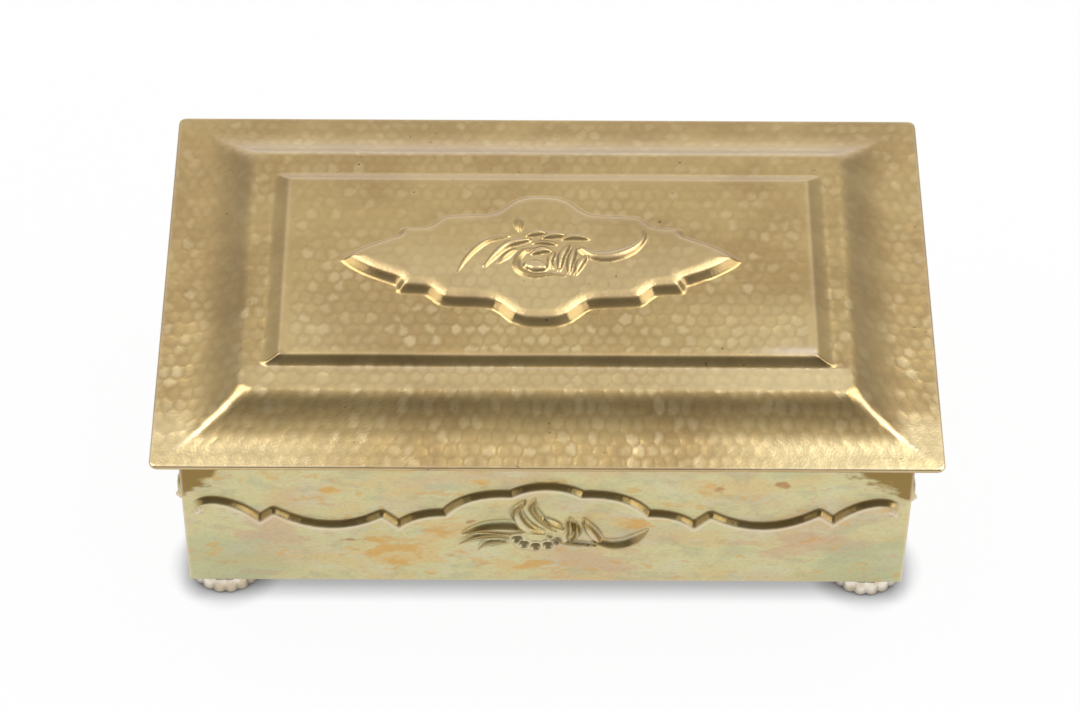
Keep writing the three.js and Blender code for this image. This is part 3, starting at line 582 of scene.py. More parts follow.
def wall_surface(u, v, half, carved, shape):
    """How proud a wall's outer face is at points along and up it, with the masks its patina follows, its
    painted highlights and painted shade.
    """
    run = half - APRON_END
    line = apron_line(run)
    far = along_line(u, v, line)[0]
    below = (np.abs(u) <= run) & (v < np.interp(u, line[:, 0], line[:, 1]))
    under = np.where(below, far, -far)
    lateral = smoothstep(run - np.abs(u), 0.0, 7.0)
    near_line = np.exp(-(np.maximum(under, 0) / 1.2) ** 2)
    fade = np.maximum(lateral * (1.0 - smoothstep(under, 0.6, APRON_FADE)), near_line)
    proud = shape.apron_relief / MM * ramp(under / APRON_BEVEL + 1.0, 0.15) * fade
    hook = np.hypot(np.abs(u) - run + 0.6, v - line[-1, 1])
    proud += 0.7 * np.clip(1.0 - (hook / 2.0) ** 2, 0.0, 1.0)

    relief, pit, rim = np.zeros((3, *u.shape))
    stains = {label: np.zeros(u.shape) for label in STAINS}
    if carved:
        up = v - WALL_RISE + SCROLL_DROP
        relief = chased(u, up, WALL_STROKES, WALL_SINK)
        pit, rim = palmette(u, up)
        clear = 1.0 - smoothstep(relief, 0.1, 0.4)
        pit, rim = pit * clear, rim * clear
        relief += PIT_DEPTH * (rim - pit)
        proud += shape.wall_relief / MM * relief
        for label, places in STAINS.items():
            for middle_u, middle_v, wide, high in places:
                cloud = 0.5 * np.exp(-((u - middle_u) / wide) ** 2 - ((v - middle_v) / high) ** 2)
                stains[label] = np.maximum(stains[label], cloud)

    edge = np.minimum(half - np.abs(u), np.minimum(v, WALL_RISE - v))
    short = WALL_ROUND - np.clip(edge, 0.0, WALL_ROUND)
    rounding = WALL_ROUND - np.sqrt(np.maximum(WALL_ROUND ** 2 - short ** 2, 0.0))
    proud += WALL_WAVE * waves(u, v, WALL_WAVE_LENGTH, 7) * smoothstep(edge, 0.5, 6.0)

    ends = smoothstep(half - np.abs(u), APRON_END - 1.5, APRON_END + 2.0)
    rubbed = band(under, -2.2, -1.7, -0.5, 0.1) * ends
    flank = band(relief, 0.0, 0.15, 0.75, 0.95) * (1.0 - rim)
    masks = {
        # Wear and painted highlight: a pale line under the apron line, the scroll's tops, the pit rims, the
        # hooks and the edges
        "wear_and_highlight": np.maximum.reduce([
            0.75 * crest(under, 0.5, 0.5) * np.maximum(lateral, 0.5),
            0.25 * smoothstep(relief, 0.75, 0.95),
            0.35 * rim,
            0.9 * (hook < 1.4),
            0.6 * crest(edge, 0.2, 0.4),
        ]),
        "rubbed": np.maximum(rubbed, 0.9 * flank),
        # Grime and painted shade: dark at the apron bevel's foot, round the strokes and in the pits
        "grime_and_shade": np.maximum.reduce([
            0.9 * crest(under, -APRON_BEVEL - 0.1, 0.35) * ends,
            0.7 * smoothstep(-relief, 0.1, 0.2),
            pit,
        ]),
        # Grows towards the top corners; the finish darkens the wall there in ragged brown patches
        "corner": (half - np.abs(u)) / np.where(u > 0, 48.0, 34.0) + (WALL_RISE - v) / 32.0,
        "damp": smoothstep(np.abs(u) / half, 0.55, 1.0) * (1.0 - smoothstep(v, 6.0, 34.0)),
    }
    return proud - rounding, masks | stains


# Meshes


def grid_lines(start, bands):
    """Places of grid lines from start on, by bands: where each band ends, and the spacing of its lines."""
    places = [[start]]
    for end, spacing in bands:
        places.append(np.linspace(start, end, max(1, round((end - start) / spacing)) + 1)[1:])
        start = end
    return np.concatenate(places)


def grid_faces(columns, rows):
    """Quads of a grid of points kept row by row, facing +Z when x grows along a row and y across the rows."""
    corner = np.arange(rows - 1)[:, None] * columns + np.arange(columns - 1)
    return np.stack([corner, corner + 1, corner + columns + 1, corner + columns], -1).reshape(-1, 4).tolist()


def border(columns, rows):
    """The points round a grid's edge, anticlockwise."""
    index = np.arange(columns * rows).reshape(rows, columns)
    return np.concatenate([index[0, :-1], index[:-1, -1], index[-1, :0:-1], index[:0:-1, 0]])


def skirt(loops):
    """Quads between loops of point numbers that follow each other, from the top face down and round."""
    faces = []
    for upper, lower in zip(loops, loops[1:]):
        faces += np.stack([lower, np.roll(lower, -1), np.roll(upper, -1), upper], -1).tolist()
    return faces


def make_piece(node, points, faces, material, slot, body, masks=None):
    """A smooth mesh in place of one frame node: points in millimetres, masks as attributes of its points."""
    mesh = bpy.data.meshes.new(node)
    mesh.from_pydata((np.asarray(points) * MM).tolist(), [], faces)
    for label, values in (masks or {}).items():
        mesh.attributes.new(label, "FLOAT", "POINT").data.foreach_set("value", np.asarray(values, np.float32))
    mesh.materials.append(material)
    add_piece(node, mesh, slot, body, 80.0)


def add_piece(node, mesh, slot, body, sharp=38.0):
    """Puts a mesh into the scene as the visible shape of a frame node, smooth up to an angle in degrees."""
    if mesh.validate():
        raise RuntimeError(f"the mesh for {node} has faces that could not be kept")
    mesh.shade_smooth()
    mesh.set_sharp_from_angle(angle=math.radians(sharp))
    piece = bpy.data.objects.new(f"{node}_{slot.split('_')[-1]}", mesh)
    bpy.context.scene.collection.objects.link(piece)
    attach(piece, body)
    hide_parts(node)


def soften(node, material, slot, body, radius):
    """A copy of a frame node whose sharp edges are rounded by radius, in metres."""
    source = frame["nodes"][node]
    form = bmesh.new()
    form.from_mesh(source.data)
    form.transform(source.matrix_world)
    bmesh.ops.remove_doubles(form, verts=form.verts, dist=1e-6)
    bmesh.ops.dissolve_limit(form, angle_limit=math.radians(1.0), verts=form.verts, edges=form.edges)
    sharp = [edge for edge in form.edges if edge.is_manifold and edge.calc_face_angle() > math.radians(50.0)]
    bmesh.ops.bevel(
        form, geom=sharp, offset=radius, segments=2, profile=0.5, affect="EDGES", clamp_overlap=True)
    mesh = bpy.data.meshes.new(node)
    form.to_mesh(mesh)
    form.free()
    mesh.materials.append(material)
    add_piece(node, mesh, slot, body)


def lid_mesh(shape):
    """Points, faces and masks of the lid: a grid over the panel, loops to the rim, the hollow underside."""
    half_x, half_y = RIM_X - GRID_INSET, RIM_Y - GRID_INSET
    across = grid_lines(-half_x, LID_BANDS_X + [(half_x, 0.8)])
    along = grid_lines(-half_y, LID_BANDS_Y + [(half_y, 0.8)])
    columns, rows = len(across), len(along)
    grid_x, grid_y = [part.ravel() for part in np.meshgrid(across / half_x, along / half_y)]
    edge = border(columns, rows)
    share_x, share_y = grid_x[edge], grid_y[edge]

    def loop(inset, radius):
        """Plan points of a loop round the lid, with its corners rounded to radius."""
        half = np.array([RIM_X - inset, RIM_Y - inset])
        plan = np.stack([share_x, share_y], -1) * half
        away = np.abs(plan) - (half - radius)
        turned = (away > 0.0).all(1)
        length = np.hypot(away[turned, 0], away[turned, 1])[:, None]
        plan[turned] = np.sign(plan[turned]) * (half - radius + away[turned] / length * radius)
        return plan

    top_insets = np.concatenate([np.linspace(GRID_INSET, 2.0, 35)[1:], [1.2, 0.7, 0.4, 0.2, 0.06]])
    plans = [np.stack([grid_x * half_x, grid_y * half_y], -1)]
    plans += [loop(inset, max(RIM_RADIUS - inset, 0.0) + 0.01) for inset in top_insets]
    plan = np.vstack(plans)
    z, masks = lid_surface(plan[:, 0], plan[:, 1], shape)
    inset = np.concatenate([np.full(columns * rows, GRID_INSET), np.repeat(top_insets, len(edge))])
    short = RIM_ROUND - np.clip(inset, 0.0, RIM_ROUND)
    z -= RIM_ROUND - np.sqrt(RIM_ROUND ** 2 - short ** 2)
    points = [np.column_stack([plan, z])]

    plateau = SEAT + UNDER_RISE
    under = [
        (0.0, RIM_RADIUS, BRIM_TOP - RIM_ROUND), (0.0, RIM_RADIUS, HEM_BOTTOM + RIM_ROUND),
        (0.15, RIM_RADIUS, HEM_BOTTOM + 0.15), (RIM_ROUND, RIM_RADIUS, HEM_BOTTOM),
        (HEM_WIDTH, 0.6, HEM_BOTTOM), (HEM_WIDTH, 0.6, SEAT), (UNDER_BRIM, 0.6, SEAT),
        (UNDER_BRIM + 0.5 * UNDER_COVE, 0.6, (SEAT + plateau) / 2), (UNDER_INSET, 0.6, plateau),
    ]
    for distance, radius, height in under:
        points.append(np.column_stack([loop(distance, radius), np.full(len(edge), height)]))
    loops = [edge]
    for number in range(len(top_insets) + len(under)):
        loops.append(columns * rows + number * len(edge) + np.arange(len(edge)))
    faces = grid_faces(columns, rows) + skirt(loops) + [loops[-1][::-1].tolist()]
    below = np.zeros(len(under) * len(edge))
    return np.vstack(points), faces, {label: np.concatenate([mask, below]) for label, mask in masks.items()}


def wall_mesh(half, carved, shape):
    """Points, faces and masks of a wall that faces -Y, its outer plane at y = 0 and its bottom at z = 0."""
    spacing = 0.36 if carved else 0.6
    low = SCROLL_LOW if carved else APRON_LOW
    u = grid_lines(WALL_INNER - half, [(-SCROLL_HALF, 0.6), (SCROLL_HALF, spacing), (half - WALL_INNER, 0.6)])
    u = np.concatenate([WALL_EDGE_LINES - half, u, half - WALL_EDGE_LINES[::-1]])
    v = grid_lines(WALL_INNER, [(low, 0.9), (APRON_HIGH, 0.36), (WALL_RISE - WALL_INNER, 0.9)])
    v = np.concatenate([WALL_EDGE_LINES, v, WALL_RISE - WALL_EDGE_LINES[::-1]])
    along, up = [part.ravel() for part in np.meshgrid(u, v)]
    proud, masks = wall_surface(along, up, half, carved, shape)
    front = np.column_stack([along, -proud, up])
    edge = border(len(u), len(v))
    back = front[edge] * [1, 0, 1] + [0, SHEET, 0]
    last = len(front) + np.arange(len(edge))
    faces = grid_faces(len(u), len(v)) + skirt([edge, last]) + [last[::-1].tolist()]
    masks = {label: np.concatenate([mask, mask[edge]]) for label, mask in masks.items()}
    return np.vstack([front, back]), faces, masks


def foot_mesh(radius, height, lobes):
    """Points, faces and a mask of wear and painted highlight of a squat fluted foot about x = y = 0, standing
    on z = 0.
    """
    profile = curve([(0.93, 0.0), (0.985, 0.08), (1.0, 0.26), (0.97, 0.62), (0.92, 0.92), (0.9, 1.0)], 5)
    turn = np.linspace(0.0, math.tau, lobes * 12, endpoint=False)
    lobe = np.abs(np.cos(turn * lobes / 2)) ** 0.8
    points = []
    wear_and_highlight = []
    for share, up in profile:
        round_out = share * radius - 0.07 * radius * (1.0 - 0.7 * up) * (1.0 - lobe)
        level = np.full(len(turn), up * height)
        points.append(np.column_stack([round_out * np.cos(turn), round_out * np.sin(turn), level]))
        # Wear and painted highlight along the low bead of each lobe
        wear_and_highlight.append(crest(up, 0.14, 0.2) * (0.5 + 0.5 * lobe))
    loops = [number * len(turn) + np.arange(len(turn)) for number in range(len(profile))][::-1]
    faces = skirt(loops) + [loops[0].tolist(), loops[-1][::-1].tolist()]
    return np.vstack(points), faces, {"wear_and_highlight": np.concatenate(wear_and_highlight)}


# Finishes


def linear(code):
    """An sRGB hex colour as linear red, green, blue and alpha."""
    channels = [int(code[place:place + 2], 16) / 255 for place in (1, 3, 5)]
    return [c / 12.92 if c <= 0.04045 else ((c + 0.055) / 1.055) ** 2.4 for c in channels] + [1.0]


def feed(node, inputs):
    """Sets a node's inputs: each takes a value, another node, or a node with the name of its output."""
    for socket, value in inputs.items():
        if isinstance(value, bpy.types.Node):
            value = (value, next(output.identifier for output in value.outputs if output.enabled))
        if isinstance(value, tuple) and isinstance(value[0], bpy.types.Node):
            source, wanted = value
            output = next(output for output in source.outputs if wanted in (output.identifier, output.name))
            node.id_data.links.new(output, node.inputs[socket])
        else:
            node.inputs[socket].default_value = value


def add_node(tree, kind, inputs=None, **settings):
    """Adds a shader node of a kind such as Math, with its settings, and feeds its inputs."""
    made = tree.nodes.new(f"ShaderNode{kind}")
    for setting, value in settings.items():
        setattr(made, setting, value)
    feed(made, inputs or {})
    return made


def start_material(name, metallic, roughness):
    """A new material, its node tree and its shader."""
    material = bpy.data.materials.new(name)
    material.use_nodes = True
    shader = material.node_tree.nodes["Principled BSDF"]
    feed(shader, {"Metallic": metallic, "Roughness": roughness})
    return material, material.node_tree, shader


def patches(tree, size, low, high, detail=3.0, stretch=(1.0, 1.0, 1.0), ragged=None, share=1.0):
    """Cloudy patches about size metres across, from 0 at low to 1 at high, or the ragged edges of a mask."""
    place = add_node(tree, "TexCoord")
    moved = add_node(tree, "Mapping", {"Vector": (place, "Object"), "Scale": stretch})
    cloud = add_node(tree, "TexNoise", {"Vector": moved, "Scale": 1.0 / size, "Detail": detail})
    if ragged:
        mask = add_node(tree, "Attribute", attribute_name=ragged)
        cloud = add_node(tree, "Math", {0: cloud, 1: share, 2: (mask, "Fac")}, operation="MULTIPLY_ADD")
    return add_node(tree, "MapRange", {
        "Value": cloud, "From Min": low, "From Max": high,
    }, interpolation_type="SMOOTHSTEP")


def layered(tree, ground, layers):
    """Colours laid over a ground one after the other, each by a mask, or a mask's name, and a strength."""
    for mask, strength, colour in layers:
        if isinstance(mask, str):
            mask = (add_node(tree, "Attribute", attribute_name=mask), "Fac")
        amount = add_node(tree, "Math", {0: mask, 1: strength}, operation="MULTIPLY")
        ground = add_node(tree, "Mix", {0: amount, 6: ground, 7: tuple(colour)}, data_type="RGBA")
    return ground


def hammered_brass(finish):
    """Planished sheet brass under thin old lacquer: satin, a little uneven, small pits, pale with wear and
    painted highlight, polish with painted highlight, painted shade between marks.
    """
    material, tree, shader = start_material("Planished sheet brass, lacquered", 1.0, 0.28)
    pits = add_node(tree, "Math", {
        0: patches(tree, 0.0016, 0.72, 0.78, 1.0), 1: patches(tree, 0.014, 0.55, 0.62),
    }, operation="MULTIPLY")
    tone = layered(tree, tuple(finish.brass), [
        (patches(tree, 0.03, 0.42, 0.62), 1.0, finish.brass_deep),
        (patches(tree, 0.0026, 0.45, 0.7), 0.12, finish.brass_pale),
        # Polish and painted highlight
        ("polish", 0.8, finish.brass_polish_highlight),
        # Painted shade
        ("painted_shade", 0.2, finish.brass_shade),
        # Painted highlight in the middle of each hammer mark
        ("mark", 0.75, finish.brass_pale),
        (pits, 0.8, finish.grime_and_shade),
        # Wear and painted highlight
        ("wear_and_highlight", 1.0, finish.worn_and_highlight),
    ])
    uneven = add_node(tree, "MapRange", {
        "Value": patches(tree, 0.006, 0.3, 0.7), "To Min": 0.2, "To Max": 0.27,
    })
    grain = add_node(tree, "Bump", {"Height": patches(tree, 0.0009, 0.3, 0.7, 2.0), "Distance": 0.000012})
    feed(shader, {
        "Base Color": tone, "Roughness": uneven, "Normal": grain, "Coat Weight": 1.0, "Coat Roughness": 0.3,
    })
    return material


def patinated_brass(finish):
    """Sheet brass under a mottled patina: pale green, ochre and rosy clouds, bare brown metal, dark lines of
    grime and painted shade, pale lines of wear and painted highlight.
    """
    material, tree, shader = start_material("Sheet brass with mottled patina", 0.9, 0.4)
    flat = (1.0, 1.0, 1.9)
    tone = layered(tree, tuple(finish.patina), [
        (patches(tree, 0.022, 0.46, 0.62, 6.0, flat), 0.6, finish.ochre),
        (patches(tree, 0.028, 0.5, 0.64, 6.0, flat), 0.6, finish.rosy),
        (patches(tree, 0.014, 0.5, 0.64, 6.0, flat), 0.5, finish.chalk),
        (patches(tree, 0.009, 0.5, 0.66, 6.0, flat), 0.35, finish.verdigris),
        (patches(tree, 0.0045, 0.5, 0.7, 6.0, flat), 0.3, finish.rosy),
        (patches(tree, 0.013, 0.86, 0.98, 8.0, flat, "ochre", 1.2), 0.8, finish.ochre),
        (patches(tree, 0.013, 0.86, 1.0, 8.0, flat, "rosy", 1.2), 0.7, finish.rosy),
        (patches(tree, 0.016, 0.55, 0.85, 8.0, flat, "damp", 0.7), 0.4, finish.verdigris),
        (patches(tree, 0.007, 0.6, 0.68, 6.0, flat), 0.5, finish.amber),
        (patches(tree, 0.009, 0.94, 1.08, 8.0, flat, "ochre", 1.2), 0.75, finish.amber),
        (patches(tree, 0.0045, 0.8, 1.0, 8.0, flat, "copper", 1.1), 0.7, finish.copper),
        # Ragged darker brown patches towards the top corners
        (patches(tree, 0.006, 1.08, 0.92, 8.0, flat, "corner", 0.6), 1.0, finish.bare),
        (patches(tree, 0.0014, 0.45, 0.75, 4.0, flat), 0.18, finish.bare),
        ("rubbed", 0.9, finish.bare),
        # Grime and painted shade
        ("grime_and_shade", 0.8, finish.grime_and_shade),
        # Wear and painted highlight
        ("wear_and_highlight", 0.9, finish.worn_and_highlight),
    ])
    rubbed = add_node(tree, "Attribute", attribute_name="rubbed")
    polish = add_node(tree, "MapRange", {"Value": (rubbed, "Fac"), "To Min": 0.4, "To Max": 0.28})
    grain = add_node(tree, "Bump", {"Height": patches(tree, 0.0012, 0.3, 0.7, 4.0), "Distance": 0.00002})
    feed(shader, {"Base Color": tone, "Roughness": polish, "Normal": grain})
    return material


def plain_brass(name, roughness, colour, size, finish):
    """Brass of one even colour, clouded a little by handling, and pale where its edges are worn and painted
    with highlight.
    """
    material, tree, shader = start_material(name, 1.0, roughness)
    tone = layered(tree, tuple(colour), [
        (patches(tree, size, 0.45, 0.65, 4.0), 0.5, finish.brass_deep),
        # Wear and painted highlight
        ("wear_and_highlight", 0.9, finish.worn_and_highlight),
    ])
    feed(shader, {"Base Color": tone})
    return material


def planed_cedar(finish, axis):
    """Planed cedar: reddish brown with long grain along one axis, 0 for X or 1 for Y, and a dull surface."""
    material, tree, shader = start_material(f"Planed cedar, grain along {'XY'[axis]}", 0.0, 0.62)
    stretch = [1.0, 1.0, 1.0]
    stretch[axis] = 0.06
    fibres = patches(tree, 0.0007, 0.4, 0.75, 3.0, stretch)
    tone = layered(tree, tuple(finish.cedar), [
        (patches(tree, 0.004, 0.35, 0.68, 4.0, stretch), 1.0, finish.cedar_deep),
        (fibres, 0.4, finish.cedar_deep),
    ])
    feed(shader, {
        "Base Color": tone,
        "Normal": add_node(tree, "Bump", {"Height": fibres, "Distance": 0.00004}),
    })
    return material


# Settings


def number(name, description, default, **kind):
    """A number setting, with a lower limit, a unit or a subtype where one fits."""
    return bpy.props.FloatProperty(name=name, description=description, default=default, **kind)


def size(name, description, default):
    """A length setting in metres."""
    return number(name, description, default, min=0.0, unit="LENGTH")


def colour(name, description, code):
    """A colour setting from an sRGB hex value."""
    return bpy.props.FloatVectorProperty(
        name=name, description=description, default=linear(code), subtype="COLOR", size=4, min=0.0, max=1.0)


class CasketShape(bpy.types.PropertyGroup):
    """Sizes of the worked surfaces."""

    mark_width: size("Hammer mark", "Spacing of the planishing marks on the lid", 0.0041)
    mark_depth: size("Hammer depth", "Depth of one planishing mark", 0.00006)
    apron_relief: size("Apron relief", "How proud the apron line stands of the wall", 0.0018)
    lid_relief: size("Lid scroll", "Height of the leaf scroll on the lid", 0.00095)
    wall_relief: size("Wall scroll", "Height of the leaf scroll on the front wall", 0.0019)
    foot_lobes: bpy.props.IntProperty(
        name="Foot lobes", description="Lobes round each foot", default=18, min=6)
    fitting_edge: size("Fitting edge", "Rounding of the brass fittings' edges", 0.00012)
    board_edge: size("Board edge", "Rounding of the cedar boards' edges", 0.0005)


class CasketFinish(bpy.types.PropertyGroup):
    """Colours of the metals, the patina and the cedar."""

    brass: colour("Brass", "Main colour of the hammered brass", "#C6A86A")
    brass_deep: colour("Deep brass", "Darker clouds in the brass", "#B8985C")
    brass_pale: colour("Pale brass", "Lighter specks in the brass", "#E2CB98")
    # Polish and painted highlight on the lid
    brass_polish_highlight: colour("Bright brass", "Where hands have polished the lid", "#F0DAA4")
    # Painted shade between the hammer marks and in corners
    brass_shade: colour("Dull brass", "Edges between the hammer marks, and sunk corners", "#8F7440")
    # Wear and painted highlight on high edges
    worn_and_highlight: colour("Worn brass", "Rubbed high edges", "#EFDCC4")
    # Grime in pits, and painted shade in sunk lines
    grime_and_shade: colour("Grime", "Dark pits and sunk lines", "#4A3820")
    patina: colour("Patina", "Pale greenish ground of the walls", "#DBD2A0")
    ochre: colour("Ochre patina", "Warm clouds on the walls", "#E0C58A")
    rosy: colour("Rosy patina", "Pinkish clouds on the walls", "#D6B996")
    chalk: colour("Chalky patina", "Paler clouds on the walls", "#DCD8B6")
    verdigris: colour("Green patina", "Bluish green clouds on the walls", "#B2BC98")
    amber: colour("Amber patina", "Small warm flecks on the walls", "#DDAE62")
    bare: colour("Bare brass", "Brown metal where the patina is missing", "#987D45")
    copper: colour("Copper spots", "Reddish spots on the walls", "#B47E52")
    # Near white, which stands in for the white floor's reflection: a painted reflection on the feet
    cast: colour("Cast brass", "The feet", "#F2EBDC")
    rolled: colour("Rolled brass", "Hinges, lips, angles, pan, pins and screws", "#BF9F62")
    cedar: colour("Cedar", "Main colour of the boards", "#A86C46")
    cedar_deep: colour("Dark cedar", "Grain of the boards", "#7C4529")


class CasketStage(bpy.types.PropertyGroup):
    """The studio and its camera."""

    floor: colour("Floor", "Plain floor and backdrop", "#F7F7F5")
    softbox: number("Softboxes", "Brightness of the two softboxes above", 2.2, min=0.0)
    strip: number("Side strips", "Brightness of the two lights low at the sides", 1.5, min=0.0)
    lens: number("Lens", "Focal length in mm", 126.67, min=10.0)
    distance: size("Distance", "From the camera to the point it looks at", 1.2153)
    target: bpy.props.FloatVectorProperty(
        name="Target", description="The point the camera looks at", default=(-0.0021, 0.0, 0.0384),
        subtype="TRANSLATION", unit="LENGTH")
    pitch: number("Pitch", "How far the camera looks down", math.radians(48.64), subtype="ANGLE")
    yaw: number("Yaw", "How far it is turned to the right", math.radians(0.323), subtype="ANGLE")
    roll: number("Roll", "How far it is tilted sideways", math.radians(0.508), subtype="ANGLE")


# Operators


class CASKET_OT_lid(bpy.types.Operator):
    """Build the hammered lid with its panel, cartouche and leaf scroll."""

    bl_idname = "casket.lid"
    bl_label = "Build Lid"

    def execute(self, context):
        scene = context.scene
        points, faces, masks = lid_mesh(scene.casket_shape)
        material = hammered_brass(scene.casket_finish)
        make_piece("lid_shell", points, faces, material, "hammered_brass", "lid", masks)
        return {"FINISHED"}


class CASKET_OT_walls(bpy.types.Operator):
    """Build the four walls with their apron line, and the leaf scroll on the front."""

    bl_idname = "casket.walls"
    bl_label = "Build Walls"

    def execute(self, context):
        scene = context.scene
        material = patinated_brass(scene.casket_finish)
        outer_y = -WALL_HIGH[1] + SHEET
        side_half = span("left_wall")[1][1]
        places = {
            "front": (WALL_HALF, outer_y, 0.0), "back": (WALL_HALF, outer_y, math.pi),
            "left": (side_half, WALL_HALF, -math.pi / 2), "right": (side_half, WALL_HALF, math.pi / 2),
        }
        for name, (half, distance, turn) in places.items():
            points, faces, masks = wall_mesh(half, name == "front", scene.casket_shape)
            points = points + [0.0, -distance, WALL_BOTTOM]
            points = points @ np.array(Matrix.Rotation(turn, 3, "Z")).T
            make_piece(f"{name}_wall", points, faces, material, "patinated_brass", "box", masks)
        return {"FINISHED"}


class CASKET_OT_feet(bpy.types.Operator):
    """Build the four fluted feet."""

    bl_idname = "casket.feet"
    bl_label = "Build Feet"

    def execute(self, context):
        scene = context.scene
        finish = scene.casket_finish
        # The feet's near-white colour is a painted reflection of the white floor
        material = plain_brass("Cast brass, polished", 0.26, finish.cast, 0.006, finish)
        for corner in ("front_left", "front_right", "back_left", "back_right"):
            low, high = span(f"foot_{corner}")
            points, faces, masks = foot_mesh((high[0] - low[0]) / 2, high[2], scene.casket_shape.foot_lobes)
            points = points + [(low[0] + high[0]) / 2, (low[1] + high[1]) / 2, 0.0]
            make_piece(f"foot_{corner}", points, faces, material, "cast_brass", "box", masks)
        return {"FINISHED"}


class CASKET_OT_fittings(bpy.types.Operator):
    """Soften and finish the hinges, lips, angles, pan, pins and screws."""

    bl_idname = "casket.fittings"
    bl_label = "Finish Fittings"

    def execute(self, context):
        scene = context.scene
        finish = scene.casket_finish
        material = plain_brass("Rolled sheet brass", 0.34, finish.rolled, 0.01, finish)
        dress("rolled_brass", lambda node: material, scene.casket_shape.fitting_edge)
        return {"FINISHED"}


class CASKET_OT_lining(bpy.types.Operator):
    """Soften and finish the cedar boards in the box and under the lid."""

    bl_idname = "casket.lining"
    bl_label = "Finish Lining"

    def execute(self, context):
        scene = context.scene
        woods = [planed_cedar(scene.casket_finish, axis) for axis in (0, 1)]
        along_y = ("lining_left", "lining_right")
        dress("cedar", lambda node: woods[node in along_y], scene.casket_shape.board_edge)
        return {"FINISHED"}


def dress(slot, material_for, radius):
    """Puts a softened copy in place of every frame node whose record names this slot."""
    record = frame["record"]
    bodies = {node: body for body, nodes in record["behaviour"]["bodies"].items() for node in nodes}
    for part in record["subparts"]:
        if part["material_slot"] == slot:
            node = part["node"]
            soften(node, material_for(node), slot, bodies[node], radius)


class CASKET_OT_stage(bpy.types.Operator):
    """Set the pale floor, the studio light and the camera."""

    bl_idname = "casket.stage"
    bl_label = "Set Stage"

    def execute(self, context):
        scene = context.scene
        settings = scene.casket_stage
        make_floor(scene, settings)
        make_world(scene)
        for side, label in ((-1, "Left"), (1, "Right")):
            add_softbox(scene, f"{label} softbox", settings.softbox, SOFTBOX_PLACE * [side, 1, 1])
            add_softbox(scene, f"{label} strip", settings.strip, STRIP_PLACE * [side, 1, 1])
        add_camera(scene, settings)
        scene.view_settings.view_transform = "Standard"
        return {"FINISHED"}


def make_floor(scene, settings):
    """A plain floor that reads as the white backdrop to the eye and in the metal, keeps the shadow, and has a
    painted contact shadow close round the object.
    """
    mesh = bpy.data.meshes.new("Floor")
    mesh.from_pydata([(-4, -4, 0), (4, -4, 0), (4, 4, 0), (-4, 4, 0)], [], [(0, 1, 2, 3)])
    floor = bpy.data.objects.new("Floor", mesh)
    scene.collection.objects.link(floor)
    material, tree, shader = start_material("Matt white floor", 0.0, 0.9)
    feed(shader, {"Base Color": settings.floor, "Specular IOR Level": 0.0})
    ray = add_node(tree, "LightPath")
    share = 0.0
    for kind, part in FLOOR_GLOW.items():
        share = add_node(tree, "Math", {0: (ray, kind), 1: part, 2: share}, operation="MULTIPLY_ADD")
    # Painted contact shadow: the floor's glow dims where the object is close
    painted_shadow = add_node(tree, "AmbientOcclusion", {"Distance": PAINTED_SHADOW_REACH})
    dimmed = add_node(tree, "Math", {0: (painted_shadow, "AO"), 1: PAINTED_SHADOW_DEPTH}, operation="POWER")
    glow = add_node(tree, "Emission", {"Color": linear("#FFFFFF"), "Strength": dimmed})
    mixed = add_node(tree, "MixShader", {0: share, 1: shader, 2: glow})
    feed(tree.nodes["Material Output"], {"Surface": mixed})
    mesh.materials.append(material)


def make_world(scene):
    """Even studio air, brightest above and behind the object and dim on the side of the camera."""
    world = bpy.data.worlds.new("Studio")
    world.use_nodes = True
    scene.world = world
    tree = world.node_tree
    direction = add_node(tree, "TexCoord")
    level = AIR_LEVEL
    for towards, low, high, strength in AIR_GLOWS:
        facing = add_node(tree, "VectorMath", {0: direction, 1: towards}, operation="DOT_PRODUCT")
        glow = add_node(tree, "MapRange", {
            "Value": facing, "From Min": low, "From Max": high, "To Max": strength,
        }, interpolation_type="SMOOTHSTEP")
        level = add_node(tree, "Math", {0: glow, 1: level}, operation="ADD")
    feed(tree.nodes["Background"], {"Color": linear("#FFFFFF"), "Strength": level})


def add_softbox(scene, name, brightness, place):
    """A square area light that faces the object. Brightness 1 is the white of the backdrop."""
    light = bpy.data.lights.new(name, "AREA")
    light.size = SOFTBOX_SIZE
    light.energy = brightness * math.pi * SOFTBOX_SIZE ** 2
    lamp = bpy.data.objects.new(name, light)
    lamp.location = place
    lamp.rotation_euler = (-Vector(place)).to_track_quat("-Z", "Y").to_euler()
    scene.collection.objects.link(lamp)


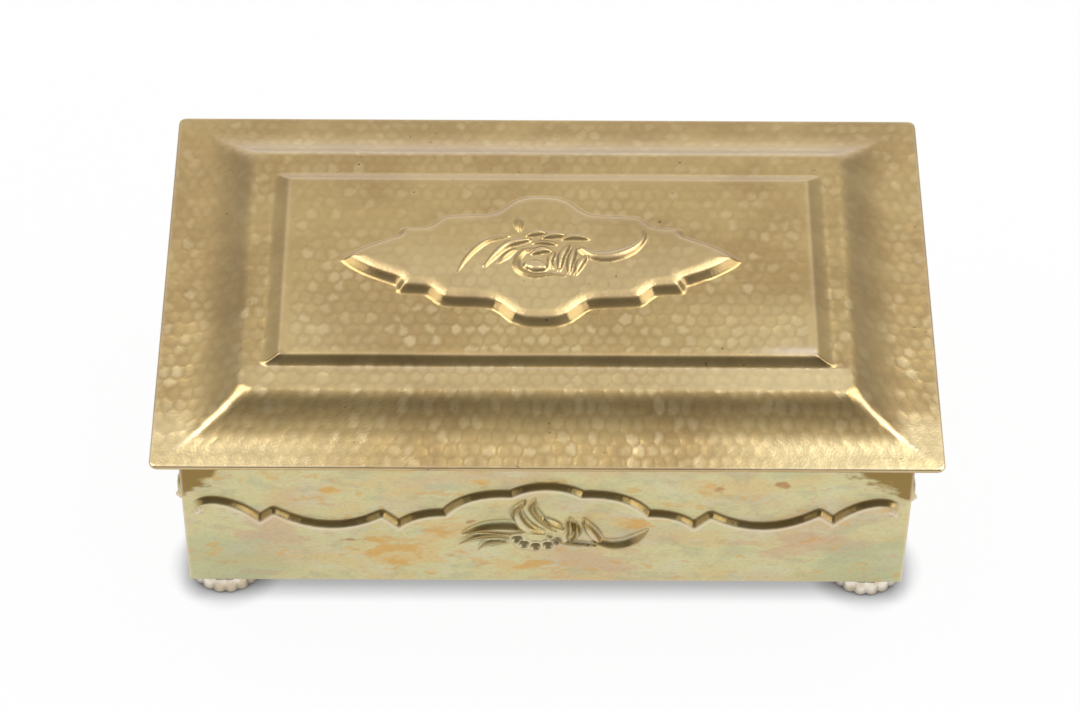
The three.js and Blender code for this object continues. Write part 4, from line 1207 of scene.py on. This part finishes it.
def add_camera(scene, settings):
    """The camera, from its turn, tilt, roll and distance."""
    camera = bpy.data.cameras.new("Camera")
    camera.lens = settings.lens
    camera.sensor_width = 36.0
    camera.clip_start = 0.01
    looker = bpy.data.objects.new("Camera", camera)
    turn = Matrix.Rotation(-settings.yaw, 4, "Z") @ Matrix.Rotation(math.pi / 2 - settings.pitch, 4, "X")
    looker.matrix_world = (
        Matrix.Translation(settings.target) @ turn @ Matrix.Rotation(settings.roll, 4, "Z")
        @ Matrix.Translation((0.0, 0.0, settings.distance)))
    scene.collection.objects.link(looker)
    scene.camera = looker


STEPS = (
    CASKET_OT_lid, CASKET_OT_walls, CASKET_OT_feet, CASKET_OT_fittings, CASKET_OT_lining, CASKET_OT_stage,
)
SETTINGS = {"casket_shape": CasketShape, "casket_finish": CasketFinish, "casket_stage": CasketStage}


class CASKET_PT_panel(bpy.types.Panel):
    """The casket's settings and steps in the sidebar."""

    bl_label = "Hammered Brass Casket"
    bl_idname = "CASKET_PT_panel"
    bl_space_type = "VIEW_3D"
    bl_region_type = "UI"
    bl_category = "Casket"

    def draw(self, context):
        for step in STEPS:
            self.layout.operator(step.bl_idname)
        for group in SETTINGS:
            settings = getattr(context.scene, group)
            box = self.layout.box()
            for label in settings.__annotations__:
                box.prop(settings, label)


def register():
    """Adds the settings, the steps and the panel."""
    for group, kind in SETTINGS.items():
        bpy.utils.register_class(kind)
        setattr(bpy.types.Scene, group, bpy.props.PointerProperty(type=kind))
    for kind in (*STEPS, CASKET_PT_panel):
        bpy.utils.register_class(kind)


def unregister():
    """Takes them away again."""
    for kind in (CASKET_PT_panel, *STEPS):
        bpy.utils.unregister_class(kind)
    for group, kind in SETTINGS.items():
        delattr(bpy.types.Scene, group)
        bpy.utils.unregister_class(kind)


def main():
    """Builds the casket and its stage."""
    register()
    bpy.ops.casket.lid()
    bpy.ops.casket.walls()
    bpy.ops.casket.feet()
    bpy.ops.casket.fittings()
    bpy.ops.casket.lining()
    bpy.ops.casket.stage()


if __name__ == "__main__":
    main()
